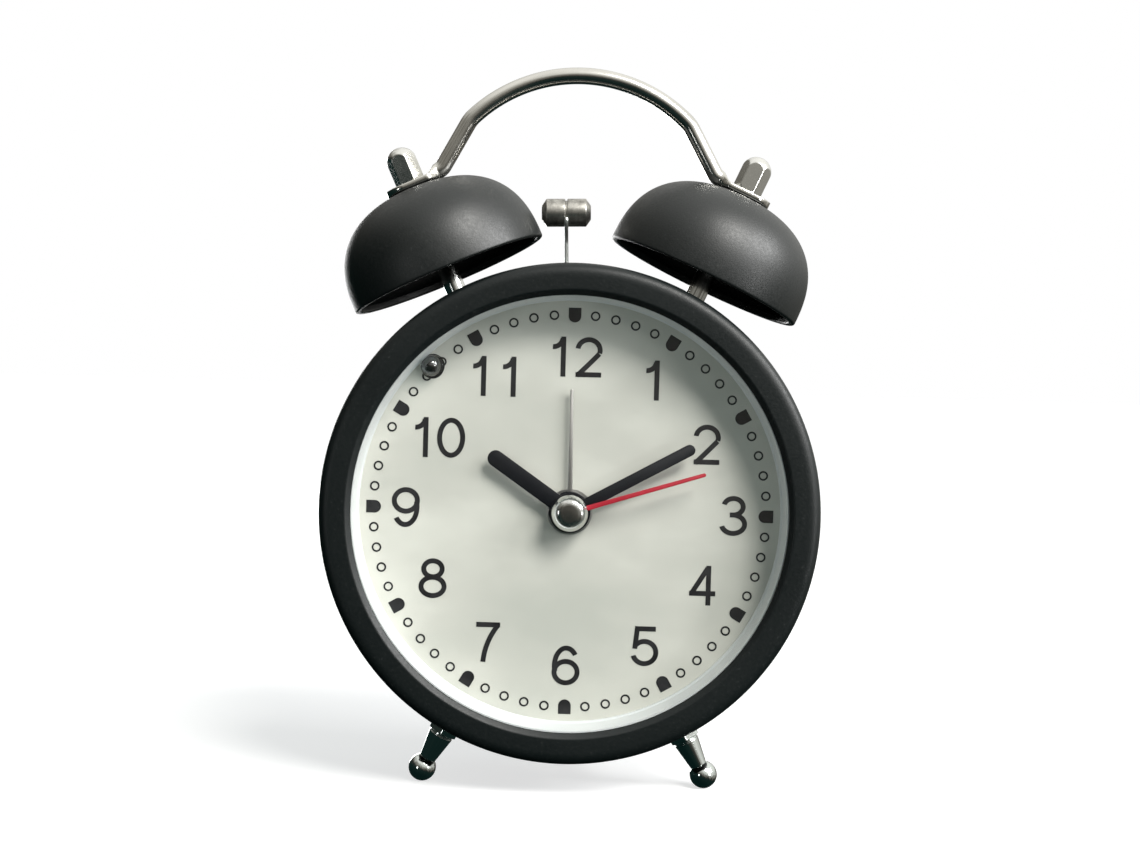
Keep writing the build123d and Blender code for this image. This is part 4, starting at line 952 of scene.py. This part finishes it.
# ---- stage ----
def glow_material(name, strength, colour):
    nodes = Nodes(name)
    glow = nodes.add("ShaderNodeEmission")
    glow.inputs["Color"].default_value = (*colour, 1)
    glow.inputs["Strength"].default_value = strength
    nodes.link(glow.outputs["Emission"], nodes.output.inputs["Surface"])
    return nodes.material


def stage_dome(name, radius, strength, colour, seen_by):
    """Pale sphere round the scene, seen only by one kind of ray."""
    bpy.ops.mesh.primitive_uv_sphere_add(segments=64, ring_count=32, radius=radius, location=(0, 0, 0))
    dome = bpy.context.object
    dome.name = name
    dome.data.materials.append(glow_material(name + "_glow", strength, colour))
    dome.visible_glossy = False
    dome.visible_transmission = False
    dome.visible_shadow = False
    dome.visible_diffuse = seen_by == "diffuse"
    dome.visible_camera = seen_by == "camera"


def make_floor():
    """Pale floor that glows a little, so that its shadows stay light."""
    nodes = Nodes("floor_paper")
    shade = nodes.noise(3.0, 3.0)
    shader = nodes.principled(Roughness=0.95, Specular_IOR_Level=0.1)
    stops = [(0.3, (0.49, 0.49, 0.49)), (0.7, (0.51, 0.51, 0.51))]
    nodes.link(nodes.colours(shade, stops), shader.inputs["Base Color"])
    shader.inputs["Emission Color"].default_value = (1, 1, 1, 1)
    shader.inputs["Emission Strength"].default_value = FLOOR_GLOW
    bpy.ops.mesh.primitive_circle_add(vertices=96, radius=FLOOR_R, fill_type="NGON", location=(0, 0, 0))
    floor = bpy.context.object
    floor.name = "floor"
    floor.data.materials.append(nodes.material)
    floor.visible_glossy = False
    floor.visible_diffuse = False


def make_room():
    """World: white behind everything, and a cloudy room, brighter above right, for the metal to reflect."""
    world = bpy.data.worlds.new("room")
    bpy.context.scene.world = world
    world.use_nodes = True
    tree = world.node_tree
    tree.nodes.clear()
    output = tree.nodes.new("ShaderNodeOutputWorld")
    direction = tree.nodes.new("ShaderNodeTexCoord").outputs["Generated"]

    slope = tree.nodes.new("ShaderNodeVectorMath")
    slope.operation = "DOT_PRODUCT"
    slope.inputs[1].default_value = ROOM_SLOPE
    tree.links.new(direction, slope.inputs[0])

    lift = tree.nodes.new("ShaderNodeMath")
    lift.operation = "ADD"
    lift.inputs[1].default_value = ROOM_LEVEL
    tree.links.new(slope.outputs["Value"], lift.inputs[0])

    patches = tree.nodes.new("ShaderNodeTexNoise")
    patches.inputs["Scale"].default_value = 4.2
    patches.inputs["Detail"].default_value = 3.0
    tree.links.new(direction, patches.inputs["Vector"])

    blend = tree.nodes.new("ShaderNodeMath")
    blend.operation = "MULTIPLY_ADD"
    blend.inputs[1].default_value = ROOM_PATCHES
    tree.links.new(patches.outputs["Fac"], blend.inputs[0])
    tree.links.new(lift.outputs["Value"], blend.inputs[2])

    ramp = tree.nodes.new("ShaderNodeValToRGB")
    while len(ramp.color_ramp.elements) < len(ROOM_STOPS):
        ramp.color_ramp.elements.new(0.5)
    for element, (position, colour) in zip(ramp.color_ramp.elements, ROOM_STOPS):
        element.position = position
        element.color = (*colour, 1)
    tree.links.new(blend.outputs["Value"], ramp.inputs["Fac"])

    reflected = tree.nodes.new("ShaderNodeBackground")
    tree.links.new(ramp.outputs["Color"], reflected.inputs["Color"])
    paper = tree.nodes.new("ShaderNodeBackground")
    paper.inputs["Color"].default_value = (1, 1, 1, 1)
    rays = tree.nodes.new("ShaderNodeLightPath")
    either = tree.nodes.new("ShaderNodeMixShader")
    tree.links.new(rays.outputs["Is Camera Ray"], either.inputs["Fac"])
    tree.links.new(reflected.outputs["Background"], either.inputs[1])
    tree.links.new(paper.outputs["Background"], either.inputs[2])
    tree.links.new(either.outputs["Shader"], output.inputs["Surface"])


def aim_light(name, light, place, target):
    lamp = bpy.data.objects.new(name, light)
    lamp.location = place
    aim = Vector(target) - Vector(place)
    lamp.rotation_mode = "QUATERNION"
    lamp.rotation_quaternion = aim.to_track_quat("-Z", "Y")
    bpy.context.scene.collection.objects.link(lamp)


def make_lights():
    """A broad soft key from above right, and square lights for the highlights and the back."""
    sun = bpy.data.lights.new("key", "SUN")
    sun.angle = radians(KEY_ANGLE)
    sun.energy = KEY_POWER
    sun.color = KEY_COLOUR
    aim_light("key", sun, KEY_PLACE, (0, 0, 0))
    for name, place, target, size, power in AREA_LIGHTS:
        light = bpy.data.lights.new(name, "AREA")
        light.shape = "SQUARE"
        light.size = size
        light.energy = power
        aim_light(name, light, place, target)


def make_camera():
    """Camera in front of the dial, a little above its axis, tipped down and rolled slightly."""
    data = bpy.data.cameras.new("camera")
    data.sensor_width = CAMERA_SENSOR
    data.lens = CAMERA_LENS
    camera = bpy.data.objects.new("camera", data)
    spot = HOME @ Vector((0, -CAMERA_DISTANCE, CAMERA_HEIGHT))
    aim = turned("Z", CAMERA_YAW) @ turned("X", 90 + CAMERA_PITCH) @ turned("Z", CAMERA_ROLL)
    camera.matrix_world = Matrix.Translation(spot) @ aim
    bpy.context.scene.collection.objects.link(camera)
    bpy.context.scene.camera = camera


make_camera()
make_floor()
stage_dome("backdrop", WALL_R, WALL_GLOW, (1, 1, 1), "camera")
stage_dome("sky_fill", FILL_R, FILL_GLOW, FILL_COLOUR, "diffuse")
make_room()
make_lights()
dress_nodes()
make_bezel()
make_inner_ring()
for side, word in ((-1, "left"), (1, "right")):
    make_bell(side, word)
    make_cap_nut(side, word)
    make_post(side, word)
    make_foot(side, word)
make_handle()
make_hammer()
make_hands()
make_lamp()
bpy.context.scene.view_settings.view_transform = "Standard"
